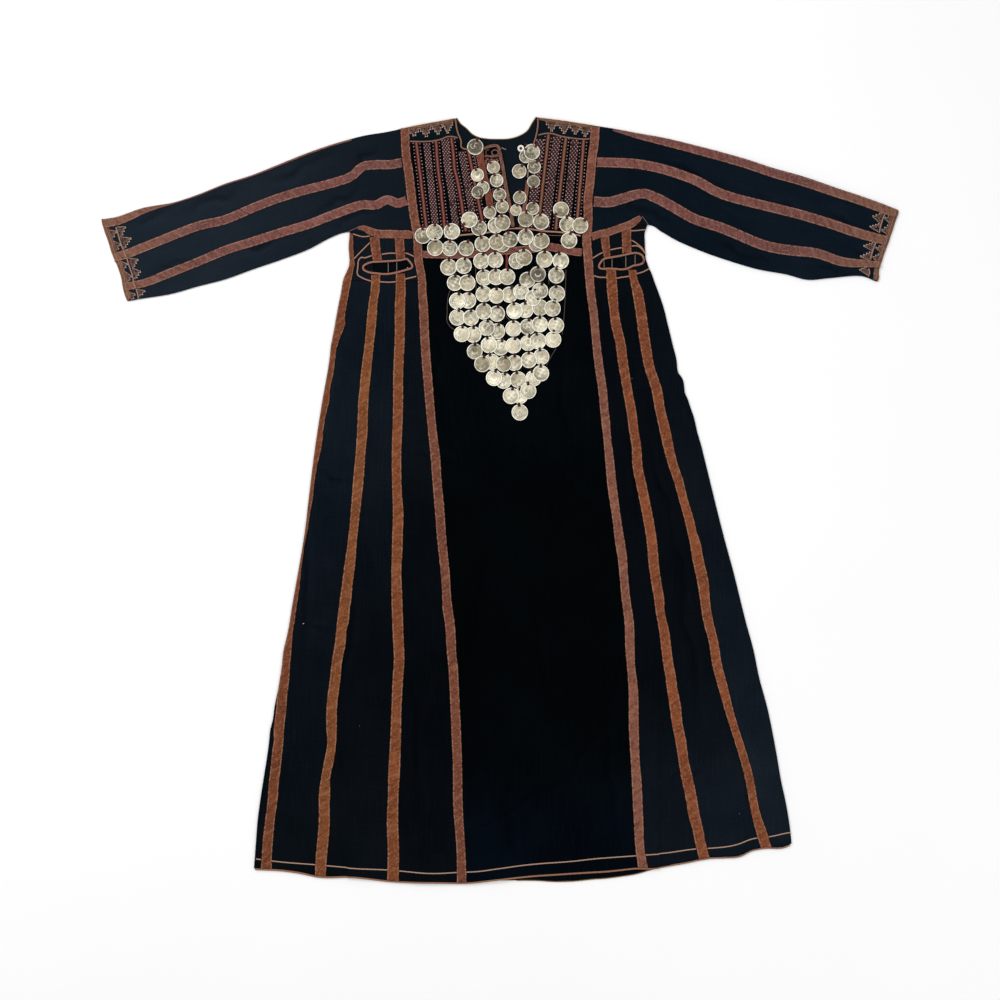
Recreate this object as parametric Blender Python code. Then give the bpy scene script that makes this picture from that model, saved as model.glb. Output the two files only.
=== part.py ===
"""Long flat-laid thobe dress: panels, seam bands, sleeves, coin bib.

Everything is written in millimetres and turned into metres on the way into the meshes.
The garment lies on its back panel: +Z up, neck towards +Y, underside at Z = 0.
"""
import math
from collections import namedtuple

import bmesh
import bpy
from mathutils import Vector
from mathutils.geometry import tessellate_polygon

MM = 0.001

# ---------------------------------------------------------------- driving dimensions (mm)
CLOTH = 1.2                 # wall of every cloth panel
LAYER_GAP = 0.4             # air between the back layer and the front layer
SEAM = 0.3                  # clearance left between neighbouring pieces
BAND = 1.0                  # applied seam band, thickness
RING = 1.6                  # bound slit edge, thickness
COIN = 1.2                  # coin, thickness
COIN_STEP = 0.25            # every other coin of a row sits this much higher
COIN_SIDES = 10
THREAD_WIDTH = 1.2
THREAD_HEIGHT = 0.7
THREAD_REACH = 0.32         # sewing thread meets a coin this share of its diameter above centre
BACK_FLAP = 45.0            # how far the side panels wrap on to the back
FRONT_Z = CLOTH + LAYER_GAP
TOP_Z = FRONT_Z + CLOTH     # upper face of the front cloth
BAND_Z = TOP_Z + SEAM
FOLD_R = TOP_Z / 2.0        # outer radius of the folded edges
COIN_Z = (BAND_Z, BAND_Z + COIN + COIN_STEP + SEAM, BAND_Z + 2.0 * (COIN + COIN_STEP + SEAM))
BUTTON_RADIUS = 6.0
BUTTON_HOLE = 2.4
BUTTON_HEIGHT = 2.1
HEM_BINDING = 2.4
CUFF_BINDING = 3.0
RING_WIDTH = 3.2
YOKE_GAP = 1.4              # the yoke's curved lower edge clears the straight-sided front by this

BAND_WIDTH = {"a": 18.6, "b": 18.4, "c": 19.0, "d": 16.6, "e": 16.4, "f": 19.0, "g": 18.0}

# Skirt sections: the two side edges and the centre of every seam band at the height y.
Section = namedtuple("Section", "y left a b c d e f g right")
SECTIONS = [Section(*row) for row in (
    (486, -274.8, -270.5, -228.0, -183.5, -150.5, 158.0, 190.0, 229.5, 264.0),
    (440, -274.2, -269.8, -224.5, -181.0, -149.0, 159.5, 195.0, 235.0, 265.0),
    (418, -277.2, -272.8, -225.3, -181.0, -146.0, 161.7, 201.5, 240.0, 272.5),
    (398, -286.0, -277.5, -226.0, -181.0, -142.0, 163.3, 202.0, 243.0, 280.5),
    (342, -296.5, -289.5, -232.3, -182.0, -138.8, 170.0, 207.8, 256.0, 300.0),
    (286, -307.0, -303.3, -237.5, -183.0, -134.9, 175.3, 218.5, 264.0, 314.0),
    (230, -314.5, -312.3, -243.5, -184.8, -131.0, 182.0, 227.0, 275.5, 326.0),
    (174, -324.5, -321.3, -248.9, -185.5, -127.1, 189.0, 237.0, 289.8, 345.0),
    (118, -333.5, -331.3, -251.0, -187.3, -122.3, 194.5, 244.8, 302.0, 360.5),
    (62, -341.0, -341.3, -255.5, -188.2, -116.4, 200.3, 250.2, 315.5, 375.5),
    (6, -347.5, -349.8, -260.0, -186.7, -112.2, 206.4, 261.3, 332.0, 389.5),
    (-50, -354.5, -358.8, -265.5, -186.0, -107.6, 214.3, 272.0, 347.5, 403.5),
    (-106, -362.5, -368.1, -272.0, -187.6, -102.2, 222.4, 278.6, 360.0, 418.5),
    (-162, -373.0, -374.8, -278.8, -187.8, -97.9, 227.2, 286.3, 371.0, 432.5),
    (-218, -382.0, -382.5, -285.3, -186.0, -92.3, 234.2, 294.6, 378.3, 446.5),
    (-274, -393.5, -388.8, -293.2, -184.3, -88.4, 236.6, 303.1, 391.0, 461.5),
    (-330, -402.0, -393.3, -300.5, -185.9, -84.1, 241.2, 311.5, 402.6, 473.5),
    (-386, -412.0, -398.8, -306.5, -188.5, -81.3, 243.0, 320.1, 417.7, 488.3),
    (-442, -421.0, -403.2, -306.5, -190.1, -78.2, 244.1, 329.3, 435.3, 499.4),
    (-498, -428.7, -409.6, -315.8, -192.7, -77.0, 247.6, 338.6, 451.5, 509.7),
    (-554, -437.2, -414.6, -319.8, -194.8, -76.3, 250.8, 349.8, 462.3, 520.8),
    (-610, -443.8, -421.6, -321.1, -195.3, -73.1, 252.8, 361.9, 477.3, 529.3),
    (-690, -450.0, -427.0, -327.0, -195.0, -69.5, 263.7, 380.7, 505.7, 541.0),
)]
GORE_TOP = 398.0
STATIONS = [s.y for s in SECTIONS if -690 < s.y <= GORE_TOP]

# Centres of the two long bands above the gores, shoulder to gore top.
Upper = namedtuple("Upper", "y d e")
UPPER = [Upper(*row) for row in (
    (678, -173.3, 173.5), (625, -170.5, 168.4), (575, -163.5, 163.8),
    (525, -157.5, 160.2), (478, -150.3, 157.8), (440, -149.0, 159.5), (398, -142.0, 163.3),
)]

# Hem: how far down the front and the back reach at x.
Hem = namedtuple("Hem", "x front back")
HEM = [Hem(*row) for row in (
    (-450, -671, -671), (-398, -674, -674), (-334, -685, -684), (-264, -686, -686),
    (-206, -693, -692), (-111, -696, -696), (-61, -696.5, -697), (-3, -690, -694),
    (66, -683, -693), (136, -678.5, -694), (192, -675, -689), (248, -670, -681),
    (275, -670, -673), (317, -664, -664), (364, -655, -655), (406, -651, -651),
    (438, -648, -648), (459, -638, -638), (480, -634, -634), (521, -631, -631),
    (541, -622, -622),
)]

# Long shallow folds of the skirt, running from y = FOLD_TOP down to the hem.
Fold = namedtuple("Fold", "top_x hem_x half_width height")
FOLD_TOP = 110.0
FOLDS = [Fold(*row) for row in (
    (-300, -378, 26, 2.6), (-224, -262, 22, 1.8), (-150, -134, 26, 2.2), (-60, 0, 34, 2.8),
    (40, 95, 36, 3.2), (130, 190, 30, 2.2), (224, 312, 24, 2.4), (272, 432, 28, 2.0),
)]

# Sleeves: pairs of points on the upper and the lower folded edge, cuff first.
Sleeve = namedtuple("Sleeve", "top_x top_y bottom_x bottom_y")
SLEEVE_LEFT = [Sleeve(*row) for row in (
    (-724.5, 510.5, -677, 361.5), (-695, 515, -650, 366), (-650, 530, -600, 374),
    (-600, 539, -550, 388), (-550, 555, -500, 401), (-500, 575, -450, 419),
    (-450, 591, -400, 436), (-400, 611, -350, 455), (-350, 631, -310, 476),
    (-300, 648, -278, 487), (-250, 662, -240, 484.6), (-205, 669.5, -200, 483.3),
    (-173.6, 676.6, -153.5, 481.0),
)]
SLEEVE_RIGHT = [Sleeve(*row) for row in (
    (726, 527, 688, 397), (700, 536, 655, 407), (650, 554, 600, 403),
    (600, 572, 560, 400), (550, 589, 520, 410), (500, 603, 470, 419),
    (450, 619, 425, 432), (400, 633, 375, 449), (350, 646, 325, 470),
    (300, 658, 295, 487), (250, 667, 270, 500), (212, 674.5, 219, 493),
    (174, 680.5, 158.4, 476.0),
)]
SHOULDER_LEFT = (-173.0, 676.5)
SHOULDER_RIGHT = (173.4, 680.3)
ARMPIT_LEFT = (-153.0, 480.5)
ARMPIT_RIGHT = (158.0, 475.5)
NECK_LEFT = (-79.0, 694.3)
NECK_RIGHT = (66.0, 696.3)

# Applied bands, one row per point: centre and width.
Strip = namedtuple("Strip", "x y width")
SLEEVE_BANDS = {
    "sleeve_left_band_top": (
        (-719, 499, 14), (-695, 507, 13), (-675, 514.5, 13), (-650, 525, 10), (-625, 532, 6),
        (-600, 537.6, 3), (-550, 553.6, 2.4), (-500, 573.4, 2.4), (-450, 589.4, 2.6),
        (-400, 609.2, 3), (-350, 629.2, 3), (-300, 646.2, 3), (-270, 654.6, 2.6)),
    "sleeve_left_band_middle": (
        (-702, 440, 15), (-650, 458, 15), (-600, 478, 15), (-550, 497, 15), (-500, 509, 15),
        (-450, 530, 15), (-400, 549, 15), (-350, 564, 15), (-300, 577, 15), (-250, 605, 15),
        (-200, 609, 15), (-178.8, 613, 15)),
    "sleeve_left_band_lower": (
        (-684, 387, 13), (-650, 393, 13), (-600, 412, 14), (-550, 432, 14), (-500, 453, 15),
        (-450, 469, 15), (-400, 485, 15), (-350, 500, 15), (-300, 519, 15), (-250, 536, 15),
        (-225, 536, 15), (-205, 544, 15), (-169.8, 544, 15)),
    "sleeve_right_band_top": (
        (721, 520, 14), (700, 528, 15), (650, 546, 15), (600, 562, 15), (550, 579, 15),
        (500, 593, 15), (450, 610, 15), (400, 624.6, 15), (350, 638, 14), (300, 650.6, 13),
        (250, 661.6, 9), (225, 668, 6), (205, 672.6, 3)),
    "sleeve_right_band_middle": (
        (703, 470, 15), (650, 485, 16), (600, 502, 16), (550, 517, 16), (500, 530, 16),
        (450, 542, 16), (400, 557, 16), (350, 583, 16), (300, 600, 16), (250, 610, 16),
        (200, 613, 16), (176.9, 613.5, 16)),
    "sleeve_right_band_lower": (
        (690, 428, 9), (650, 429, 13), (600, 438, 16), (550, 453, 17), (500, 458, 17),
        (450, 474, 17), (400, 495, 17), (350, 512, 17), (300, 538, 17), (262, 556, 16),
        (225, 548, 17), (200, 541, 17), (170.9, 542, 17)),
}
YOKE_BAND = (
    (-140, 445.5, 13), (-110, 445, 13), (-60, 446, 14), (-30, 449, 14), (0, 452, 14),
    (30, 453, 14), (60, 456, 14), (90, 459.5, 15), (110, 456, 15), (130, 451.5, 14),
    (149.2, 449.2, 14))
FRONT_EDGE_RIGHT = (
    (70.6, 691, 3), (70.6, 682, 3), (67.6, 663, 3), (63.6, 650, 3), (57.5, 620, 4),
    (50.4, 580, 6.4), (47.6, 555, 7), (44.6, 530, 7), (41.6, 510, 7), (37.6, 493.6, 7))

# Outlines of the flat upper pieces (x, y), each read once round.
YOKE_BOTTOM = ((-152.6, 484), (-100, 484), (-50, 485), (0, 489), (30, 492), (60, 491),
               (85, 488), (115, 485), (158.6, 482))
SLIT_LEFT_EDGE = ((1.6, 638.6), (5, 611), (9, 593), (13, 569), (17, 542), (21.5, 520),
                  (27.4, 494))
SLIT_RIGHT_EDGE = ((34, 494), (38, 510), (41, 530), (44, 555), (47, 580), (55, 620),
                   (61.8, 649), (65.8, 663), (68.8, 682), (69, 693.4))
NECK_LEFT_FRONT = ((-82.4, 693.4), (-79, 677), (-76.5, 667), (-71.2, 653), (-69, 640),
                   (-60, 636.6), (-30, 637))
BACK_NECK = ((-72, 684), (-62, 676), (-50, 664.5), (-40, 659.4), (-25, 656.4), (-5, 655.5),
             (20, 657), (35, 661.6), (50, 671), (58, 684))
PLACKET = ((-38.6, 637.4), (-20, 639.6), (-8, 642.4), (1.2, 640)) + SLIT_LEFT_EDGE[1:] + (
    (4, 492.4), (-15.4, 494), (-21, 520), (-28, 550), (-34, 590))
SEAM_RIGHT = ((165, 476.6), (198, 485.6), (219, 492.4))
GUSSET_LEFT = ((-269.9, 484.6), (-236.3, 484), (-236.3, 468), (-265, 439.5), (-269.4, 436))
GUSSET_RIGHT_FRONT = ((492.4, 236.2), (485, 236.2), (473.5, 236.4), (462, 249), (452, 261),
                      (440, 262.6), (425, 267.6), (410, 273.4), (398.4, 278.0))
ARMHOLE_BAND_LEFT = (
    (-258, 496.6), (-247, 499), (-237, 495.6), (-222, 491), (-200, 490.5), (-178, 489.2),
    (-168, 489.6), (-160.4, 487), (-158.9, 474.4), (-175.2, 474.4), (-172, 439.5),
    (-189, 436.9), (-192.6, 475.2), (-219.4, 475.2), (-214.4, 434.7), (-230.8, 434.6),
    (-237.6, 474.8), (-238.4, 481.6), (-250, 488.6), (-258, 492))
ARMHOLE_BAND_RIGHT = (
    (166.9, 484.6), (180, 489.6), (198, 493.6), (218, 500.4), (238, 508), (248, 514),
    (253, 518), (259, 515), (258, 510), (251, 503.6), (246, 497), (238.4, 491.6),
    (239, 450.6), (222, 446.9), (219.2, 486.6), (198.8, 479.6), (201, 442.8), (189, 440.1),
    (182, 475.4), (167.2, 470.6))
RING_LEFT = (
    (-248.6, 424), (-243, 428.5), (-235, 431.4), (-222, 432.5), (-205, 433.4), (-190, 434.4),
    (-178, 436), (-169, 437.3), (-164.6, 433), (-160.6, 427.5), (-159.4, 424), (-162, 420.6),
    (-170, 418), (-180, 415), (-190, 412.5), (-200, 410.6), (-212, 410), (-225, 411.4),
    (-235, 412.5), (-243, 415), (-248, 418))
RING_RIGHT = (
    (180, 425), (183, 431), (187, 436), (192, 438.5), (200, 440), (212, 442), (225, 444.5),
    (238, 447.4), (247, 448.4), (254, 447), (259.4, 443), (261.6, 437), (261, 431.6),
    (257, 428.5), (250, 426.6), (242, 425), (236, 422), (230, 419.6), (222, 418.5),
    (210, 419.4), (196, 420), (187, 419.6), (181.4, 421))
BUTTON = (38.0, 639.0)

# Coins, strung row by row: level (0 lowest), then (x, y, diameter) of each coin in order.
COIN_ROWS = {
    "coins_neck_left": (1, ((-45, 641, 29.5),)),
    "coins_placket_left": (1, ((-41, 590, 23.5), (-31, 567, 23.5), (-40, 559, 23.5))),
    "coins_placket": (1, ((-12, 604, 23), (-6, 580, 24), (-0.5, 554, 23.5), (4, 532, 23.5),
                          (-18.5, 522, 23))),
    "coins_front_right": (1, ((58, 632, 29), (47, 624, 24), (35, 597, 26), (62, 605, 24),
                              (61, 578, 23))),
    "coins_yoke_right": (1, ((36, 549, 24), (29, 526, 20.5), (47, 509.5, 28.5), (75, 505, 29),
                             (59.5, 529, 23.5))),
    "coins_chest_left": (2, ((-140.5, 479.5, 29), (-119, 486, 30), (-87.5, 487.5, 29.5))),
    "coins_chest_middle": (1, ((-55.5, 508.7, 29.5), (-38, 493.5, 28.5), (-8, 498, 28.5),
                               (4.5, 503, 29))),
    "coins_chest_right": (1, ((111, 527, 29), (122.5, 500, 29), (146, 498, 29),
                              (125.5, 471, 29.5))),
    "coins_band_left": (1, ((-117.5, 457.5, 30), (-91, 456.5, 28.5), (-61.5, 456.5, 28.5))),
    "coins_band_middle": (1, ((-31.5, 464.5, 29), (-6, 467.5, 29), (4, 464, 29),
                              (18, 472.5, 29), (46.5, 477, 29), (75.5, 470, 29),
                              (66.5, 464.5, 28))),
    "coins_bib_row_1": (1, ((-93.5, 422.5, 30), (-66, 425, 29), (-34, 433.5, 29),
                            (-8.5, 435.3, 28.5), (30.5, 434, 29.5), (43.5, 440, 30),
                            (81, 437, 30), (110.5, 434, 29.5))),
    "coins_bib_row_2": (0, ((-82, 394, 29), (-59.5, 394, 29.5), (-29, 403.5, 29),
                            (-7.5, 404.5, 29), (13, 405, 29.5), (50, 399.5, 29),
                            (69, 410, 28.5), (102.5, 407.5, 29))),
    "coins_bib_row_3": (1, ((-77.5, 361, 30), (-58, 362, 29), (-29.5, 373.5, 29.5),
                            (-6.5, 370.5, 28.5), (17.5, 372.5, 29), (38.5, 378, 28.5),
                            (60, 366, 29), (73, 379.5, 29), (103.5, 374.5, 29.5))),
    "coins_bib_row_4": (0, ((-77.5, 331, 29.5), (-53, 330.5, 29), (-29.5, 342, 29.5),
                            (-5.5, 338, 29), (26.5, 343, 29.5), (46.5, 344.5, 28.5),
                            (73, 349, 29.5), (95.5, 347.5, 29.5))),
    "coins_bib_row_5": (1, ((-69.5, 301, 29), (-48.5, 300, 29.5), (-24, 312, 29),
                            (-5, 306, 28.5), (24.5, 311, 29), (50.5, 314, 29),
                            (72.5, 318.5, 29), (102, 316.5, 29))),
    "coins_bib_row_6": (0, ((-46, 269.5, 28.5), (-20, 281, 29.5), (1, 276.5, 29),
                            (24.5, 280, 29), (51, 284.5, 28.5), (69, 288, 29.5),
                            (96.5, 291, 29.5))),
    "coins_bib_row_7": (1, ((-32, 246.5, 29.5), (-15, 250.5, 29), (7, 246.5, 28.5),
                            (26.5, 248.5, 29), (52.5, 253.5, 29), (75, 259.5, 29))),
    "coins_bib_row_8": (0, ((-11, 221, 29), (6.5, 216, 29), (33, 218, 29.5),
                            (61, 220.5, 29), (74.5, 229.5, 29.5))),
    "coins_bib_tip": (1, ((20, 188.5, 29.5), (36.5, 188.5, 29), (51.5, 197.5, 29),
                          (36, 158.5, 29.5))),
}

NAVY = (0.013, 0.018, 0.030)
RUST = (0.30, 0.105, 0.048)
ROSE = (0.23, 0.088, 0.062)
SILVER = (0.56, 0.52, 0.42)
BONE = (0.80, 0.78, 0.74)


# ---------------------------------------------------------------- small helpers
def interpolate(rows, key, field, value):
    """Straight-line reading of one column of a table sorted either way by its key."""
    ordered = sorted(rows, key=lambda row: getattr(row, key))
    if value <= getattr(ordered[0], key):
        return float(getattr(ordered[0], field))
    for low, high in zip(ordered, ordered[1:]):
        start, end = getattr(low, key), getattr(high, key)
        if value <= end:
            share = (value - start) / (end - start)
            return (1 - share) * getattr(low, field) + share * getattr(high, field)
    return float(getattr(ordered[-1], field))


def edge(field, y):
    return interpolate(SECTIONS, "y", field, y)


def hem(x, layer="front"):
    return interpolate(HEM, "x", layer, x)


def on_hem(column, layer="front"):
    """The point where a column x(y) crosses the hem."""
    y = -670.0
    for _ in range(6):
        y = hem(column(y), layer)
    return column(y), y


def lift(x, y):
    """Height of the skirt's folds above the flat front layer."""
    if y >= FOLD_TOP:
        return 0.0
    run = min(1.0, (FOLD_TOP - y) / (FOLD_TOP + 690.0))
    inside = min(x - edge("left", y), edge("right", y) - x)
    fade = min(1.0, max(0.0, (inside - 4.0) / 30.0))
    total = 0.0
    for fold in FOLDS:
        middle = fold.top_x + (fold.hem_x - fold.top_x) * run
        width = fold.half_width * (0.6 + 0.6 * run)
        total += fold.height * math.exp(-((x - middle) / width) ** 2)
    return total * fade * math.sin(0.5 * math.pi * min(1.0, 1.6 * run))


def add_object(name, bm, colour, roughness=0.9, metallic=0.0):
    bmesh.ops.recalc_face_normals(bm, faces=bm.faces)
    mesh = bpy.data.meshes.new(name)
    bm.to_mesh(mesh)
    bm.free()
    material = bpy.data.materials.new(name + "_material")
    material.use_nodes = True
    shader = material.node_tree.nodes["Principled BSDF"]
    shader.inputs["Base Color"].default_value = (*colour, 1.0)
    shader.inputs["Roughness"].default_value = roughness
    shader.inputs["Metallic"].default_value = metallic
    mesh.materials.append(material)
    obj = bpy.data.objects.new(name, mesh)
    bpy.context.scene.collection.objects.link(obj)
    return obj


def put(bm, x, y, z):
    return bm.verts.new((x * MM, y * MM, z * MM))


def slab_mesh(outline, z_low, z_high, hole=()):
    """Flat piece cut to an outline, with an optional opening."""
    bm = bmesh.new()
    loops = [list(outline)] + ([list(hole)] if hole else [])
    low = [[put(bm, x, y, z_low) for x, y in loop] for loop in loops]
    high = [[put(bm, x, y, z_high) for x, y in loop] for loop in loops]
    flat = [v for loop in low for v in loop]
    raised = [v for loop in high for v in loop]
    faces = tessellate_polygon([[Vector((x, y, 0.0)) for x, y in loop] for loop in loops])
    for i, j, k in faces:
        bm.faces.new((raised[i], raised[j], raised[k]))
        bm.faces.new((flat[k], flat[j], flat[i]))
    for below, above in zip(low, high):
        for i in range(len(below)):
            j = (i + 1) % len(below)
            bm.faces.new((below[i], below[j], above[j], above[i]))
    return bm


def slab(name, outline, z_low, thickness, colour, hole=(), roughness=0.9, metallic=0.0):
    bm = slab_mesh(outline, z_low, z_low + thickness, hole)
    return add_object(name, bm, colour, roughness, metallic)


def loft(name, loops, colour):
    """Closed solid through equal point loops, capped at both ends."""
    bm = bmesh.new()
    rings = [[put(bm, *point) for point in loop] for loop in loops]
    for near, far in zip(rings, rings[1:]):
        for i in range(len(near)):
            j = (i + 1) % len(near)
            bm.faces.new((near[i], near[j], far[j], far[i]))
    half = len(loops[0]) // 2
    for ring in (rings[0], rings[-1]):
        for i in range(half - 1):
            bm.faces.new((ring[i], ring[i + 1], ring[-2 - i], ring[-1 - i]))
    return add_object(name, bm, colour)


def sheet_loops(rows, thickness):
    """Rows of points on a lower face, made into loops with the given wall."""
    return [row + [(x, y, z + thickness) for x, y, z in reversed(row)] for row in rows]


def tube(name, outer, inner, colour):
    """Open-ended tube between matching outer and inner loops."""
    bm = bmesh.new()
    skins = [[[put(bm, *p) for p in loop] for loop in skin] for skin in (outer, inner)]
    count = len(outer[0])
    for skin in skins:
        for near, far in zip(skin, skin[1:]):
            for i in range(count):
                j = (i + 1) % count
                bm.faces.new((near[i], near[j], far[j], far[i]))
    for end in (0, -1):
        for i in range(count):
            j = (i + 1) % count
            bm.faces.new((skins[0][end][i], skins[0][end][j],
                          skins[1][end][j], skins[1][end][i]))
    return add_object(name, bm, colour)


def strip_sides(points):
    """Left and right edge of a flat band run along a centre line."""
    left, right = [], []
    for i, (x, y, width) in enumerate(points):
        before, after = points[max(i - 1, 0)], points[min(i + 1, len(points) - 1)]
        along = Vector((after[0] - before[0], after[1] - before[1])).normalized()
        left.append((x - along.y * width / 2, y + along.x * width / 2))
        right.append((x + along.y * width / 2, y - along.x * width / 2))
    return left, right


def strip(name, points, z_low, thickness, colour):
    left, right = strip_sides(points)
    rows = [[(*a, z_low), (*b, z_low)] for a, b in zip(left, right)]
    return loft(name, sheet_loops(rows, thickness), colour)


# ---------------------------------------------------------------- skirt
def seam_left(y):
    """Seam under band a; where the band wraps the edge it stays just inside the fold."""
    return max(edge("a", y), edge("left", y) + FOLD_R + 1.0)


def seam(name, y):
    return seam_left(y) if name == "a" else edge(name, y)


def band_edge(name, side, y):
    reach = edge(name, y) + side * BAND_WIDTH[name] / 2.0
    return max(reach, edge("left", y) + FOLD_R + 0.2) if name == "a" else reach


def grid_point(column, y, base):
    return (column(y), y, base + lift(column(y), y))


def grid_rows(columns, heights, base, layer="front"):
    """Rows of points at the given heights, closed by a row on the hem."""
    rows = [[grid_point(column, y, base) for column in columns] for y in heights]
    last = []
    for column in columns:
        x, y = on_hem(column, layer)
        last.append((x, y, base + lift(x, y)))
    return rows + [last]


def between(first, second, share):
    return lambda y: first(y) * (1 - share) + second(y) * share


def gore_columns(left_band, right_band, inner):
    start = lambda y: seam(left_band, y) + SEAM / 2
    stop = lambda y: seam(right_band, y) - SEAM / 2
    near = lambda y: band_edge(left_band, 1, y)
    far = lambda y: band_edge(right_band, -1, y)
    middle = [between(near, far, (i + 1) / (inner + 1)) for i in range(inner)]
    return [start, near] + middle + [far, stop]


def make_gore(name, left_band, right_band, inner, extra=()):
    rows = grid_rows(gore_columns(left_band, right_band, inner), STATIONS, FRONT_Z)
    return loft(name, sheet_loops(list(extra) + rows, CLOTH), NAVY)


def make_centre_front():
    columns = gore_columns("d", "e", 6)
    yoke = [Strip(x, y, 0) for x, y in YOKE_BOTTOM]
    top = []
    for column in columns:
        x = column(486)
        top.append((x, interpolate(yoke, "x", "y", x) - YOKE_GAP, FRONT_Z))
    shelf = [grid_point(column, 440, FRONT_Z) for column in columns]
    rows = [top, shelf] + grid_rows(columns, STATIONS, FRONT_Z)
    return loft("centre_front_panel", sheet_loops(rows, CLOTH), NAVY)


def make_seam_band(name, top, heights, colour):
    """Band over a seam, on the same points as the panels it covers."""
    columns = [lambda y: band_edge(name, -1, y), lambda y: seam(name, y) - SEAM / 2,
               lambda y: seam(name, y) + SEAM / 2, lambda y: band_edge(name, 1, y)]
    rows = grid_rows(columns, heights, BAND_Z)
    return loft("seam_band_" + name, sheet_loops(list(top) + rows, BAND), colour)


def band_top_rows(name):
    rows = []
    for row in UPPER[:-1]:
        x, half = getattr(row, name), BAND_WIDTH[name] / 2.0
        y = row.y - (1.5 if row.y > 670 else 0.0)
        rows.append([(x - half, y, BAND_Z), (x - SEAM / 2, y, BAND_Z),
                     (x + SEAM / 2, y, BAND_Z), (x + half, y, BAND_Z)])
    return rows


def folded_section(y, front, side, sign, row_of=None):
    """Cloth from the front seam, round the folded side edge, on to the back.

    sign is -1 for the left edge of the garment and +1 for the right one."""
    bend = side - sign * FOLD_R
    height = row_of or (lambda x: y)
    outer = [(x, height(x), TOP_Z + lift(x, y)) for x in front]
    inner = [(x, height(x), FRONT_Z + lift(x, y)) for x in front]
    for step in range(6):
        angle = math.radians(90 - 36 * step)
        for path, radius in ((outer, FOLD_R), (inner, LAYER_GAP / 2)):
            path.append((bend + sign * radius * math.cos(angle), height(side),
                         FOLD_R + radius * math.sin(angle)))
    flap = side - sign * BACK_FLAP
    outer.append((flap, height(flap), 0.0))
    inner.append((flap, height(flap), CLOTH))
    return outer + inner[::-1]


def make_side_panel_left():
    heights = [483.8, 440.0, 418.0] + STATIONS
    loops = []
    for y in heights:
        front = [seam_left(y) - SEAM / 2, band_edge("a", -1, y)]
        loops.append(folded_section(y, front, edge("left", y), -1))
    x, y = on_hem(lambda h: edge("left", h))
    front = [seam_left(y) - SEAM / 2, band_edge("a", -1, y)]
    loops.append(folded_section(y, front, x, -1, hem))
    return loft("side_panel_left", loops, NAVY)


def side_right_front(y):
    near, far = band_edge("g", 1, y), edge("right", y) - FOLD_R - 1.0
    return [edge("g", y) + SEAM / 2, near, 0.6 * near + 0.4 * far, 0.2 * near + 0.8 * far]


def side_right_hem():
    return [on_hem(lambda h, i=i: side_right_front(h)[i]) for i in range(4)]


def make_side_panel_right():
    loops = [folded_section(y, side_right_front(y), edge("right", y), 1) for y in STATIONS]
    x, y = on_hem(lambda h: edge("right", h))
    loops.append(folded_section(y, [p[0] for p in side_right_hem()], x, 1, hem))
    return loft("side_panel_right", loops, NAVY)


def make_gusset_right():
    loops = []
    for y, x in GUSSET_RIGHT_FRONT:
        side = max(edge("right", y), x + FOLD_R + 1.0)
        loops.append(folded_section(y, [x, side - FOLD_R - 0.4], side, 1))
    return loft("gusset_right", loops, NAVY)


def make_hem_binding():
    """Rolled edge that follows the hem of every front panel, point for point."""
    columns = []
    for first, second, inner in (("a", "b", 2), ("b", "c", 2), ("c", "d", 2), ("d", "e", 6),
                                 ("e", "f", 1), ("f", "g", 2)):
        columns += gore_columns(first, second, inner)
    start = on_hem(lambda y: edge("left", y) + FOLD_R + 0.4)
    stop = on_hem(lambda y: edge("right", y) - FOLD_R - 0.4)
    points = [start] + [on_hem(column) for column in columns] + side_right_hem() + [stop]
    loops = []
    for x, y in points:
        near, far = y - 1.5 * SEAM, y - 1.5 * SEAM - HEM_BINDING
        low, high = FRONT_Z - 0.3 + lift(x, y), TOP_Z + 0.3 + lift(x, y)
        loops.append([(x, near, low), (x, far, low + 0.3), (x, far, high - 0.3), (x, near, high)])
    return loft("hem_binding", loops, RUST)


def make_back():
    left = [(edge("left", y) + BACK_FLAP + SEAM, y) for y in [440, 418] + STATIONS]
    right = [(edge("right", y) - BACK_FLAP - SEAM, y) for y in [440, 418] + STATIONS]
    start_x = on_hem(lambda y: edge("left", y))[0] + BACK_FLAP + SEAM
    stop_x = on_hem(lambda y: edge("right", y))[0] - BACK_FLAP - SEAM
    start, stop = (start_x, hem(start_x, "back")), (stop_x, hem(stop_x, "back"))
    bottom = [(row.x, row.back) for row in HEM if start[0] + 5 < row.x < stop[0] - 5]
    outline = [NECK_LEFT, SHOULDER_LEFT, ARMPIT_LEFT, (-200, 482.6), (-229.4, 483.8)]
    outline += left + [start] + bottom + [stop] + right[::-1]
    outline += [(218.6, 492.2), (198, 485.4), (165, 476.4), ARMPIT_RIGHT, SHOULDER_RIGHT]
    outline += [NECK_RIGHT] + list(BACK_NECK[::-1])
    return slab("back_panel", outline, 0.0, CLOTH, NAVY)


# ---------------------------------------------------------------- sleeves
def sleeve_loop(row, radius, shift=(0.0, 0.0)):
    """Flattened ring between the two folded edges; radius 0 is half way through the gap."""
    top = Vector((row.top_x + shift[0], row.top_y + shift[1]))
    bottom = Vector((row.bottom_x + shift[0], row.bottom_y + shift[1]))
    along = (bottom - top).normalized()
    length = (bottom - top).length
    points = []
    for share in (0.0, 0.35, 0.7):
        points.append((FOLD_R + share * (length - 2 * FOLD_R), FOLD_R + radius))
    for step in range(5):
        angle = math.radians(90 - 45 * step)
        points.append((length - FOLD_R + radius * math.cos(angle),
                       FOLD_R + radius * math.sin(angle)))
    for share in (0.7, 0.35, 0.0):
        points.append((FOLD_R + share * (length - 2 * FOLD_R), FOLD_R - radius))
    for step in range(1, 4):
        angle = math.radians(-90 - 45 * step)
        points.append((FOLD_R + radius * math.cos(angle), FOLD_R + radius * math.sin(angle)))
    return [(*(top + along * t), z) for t, z in points]


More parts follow.
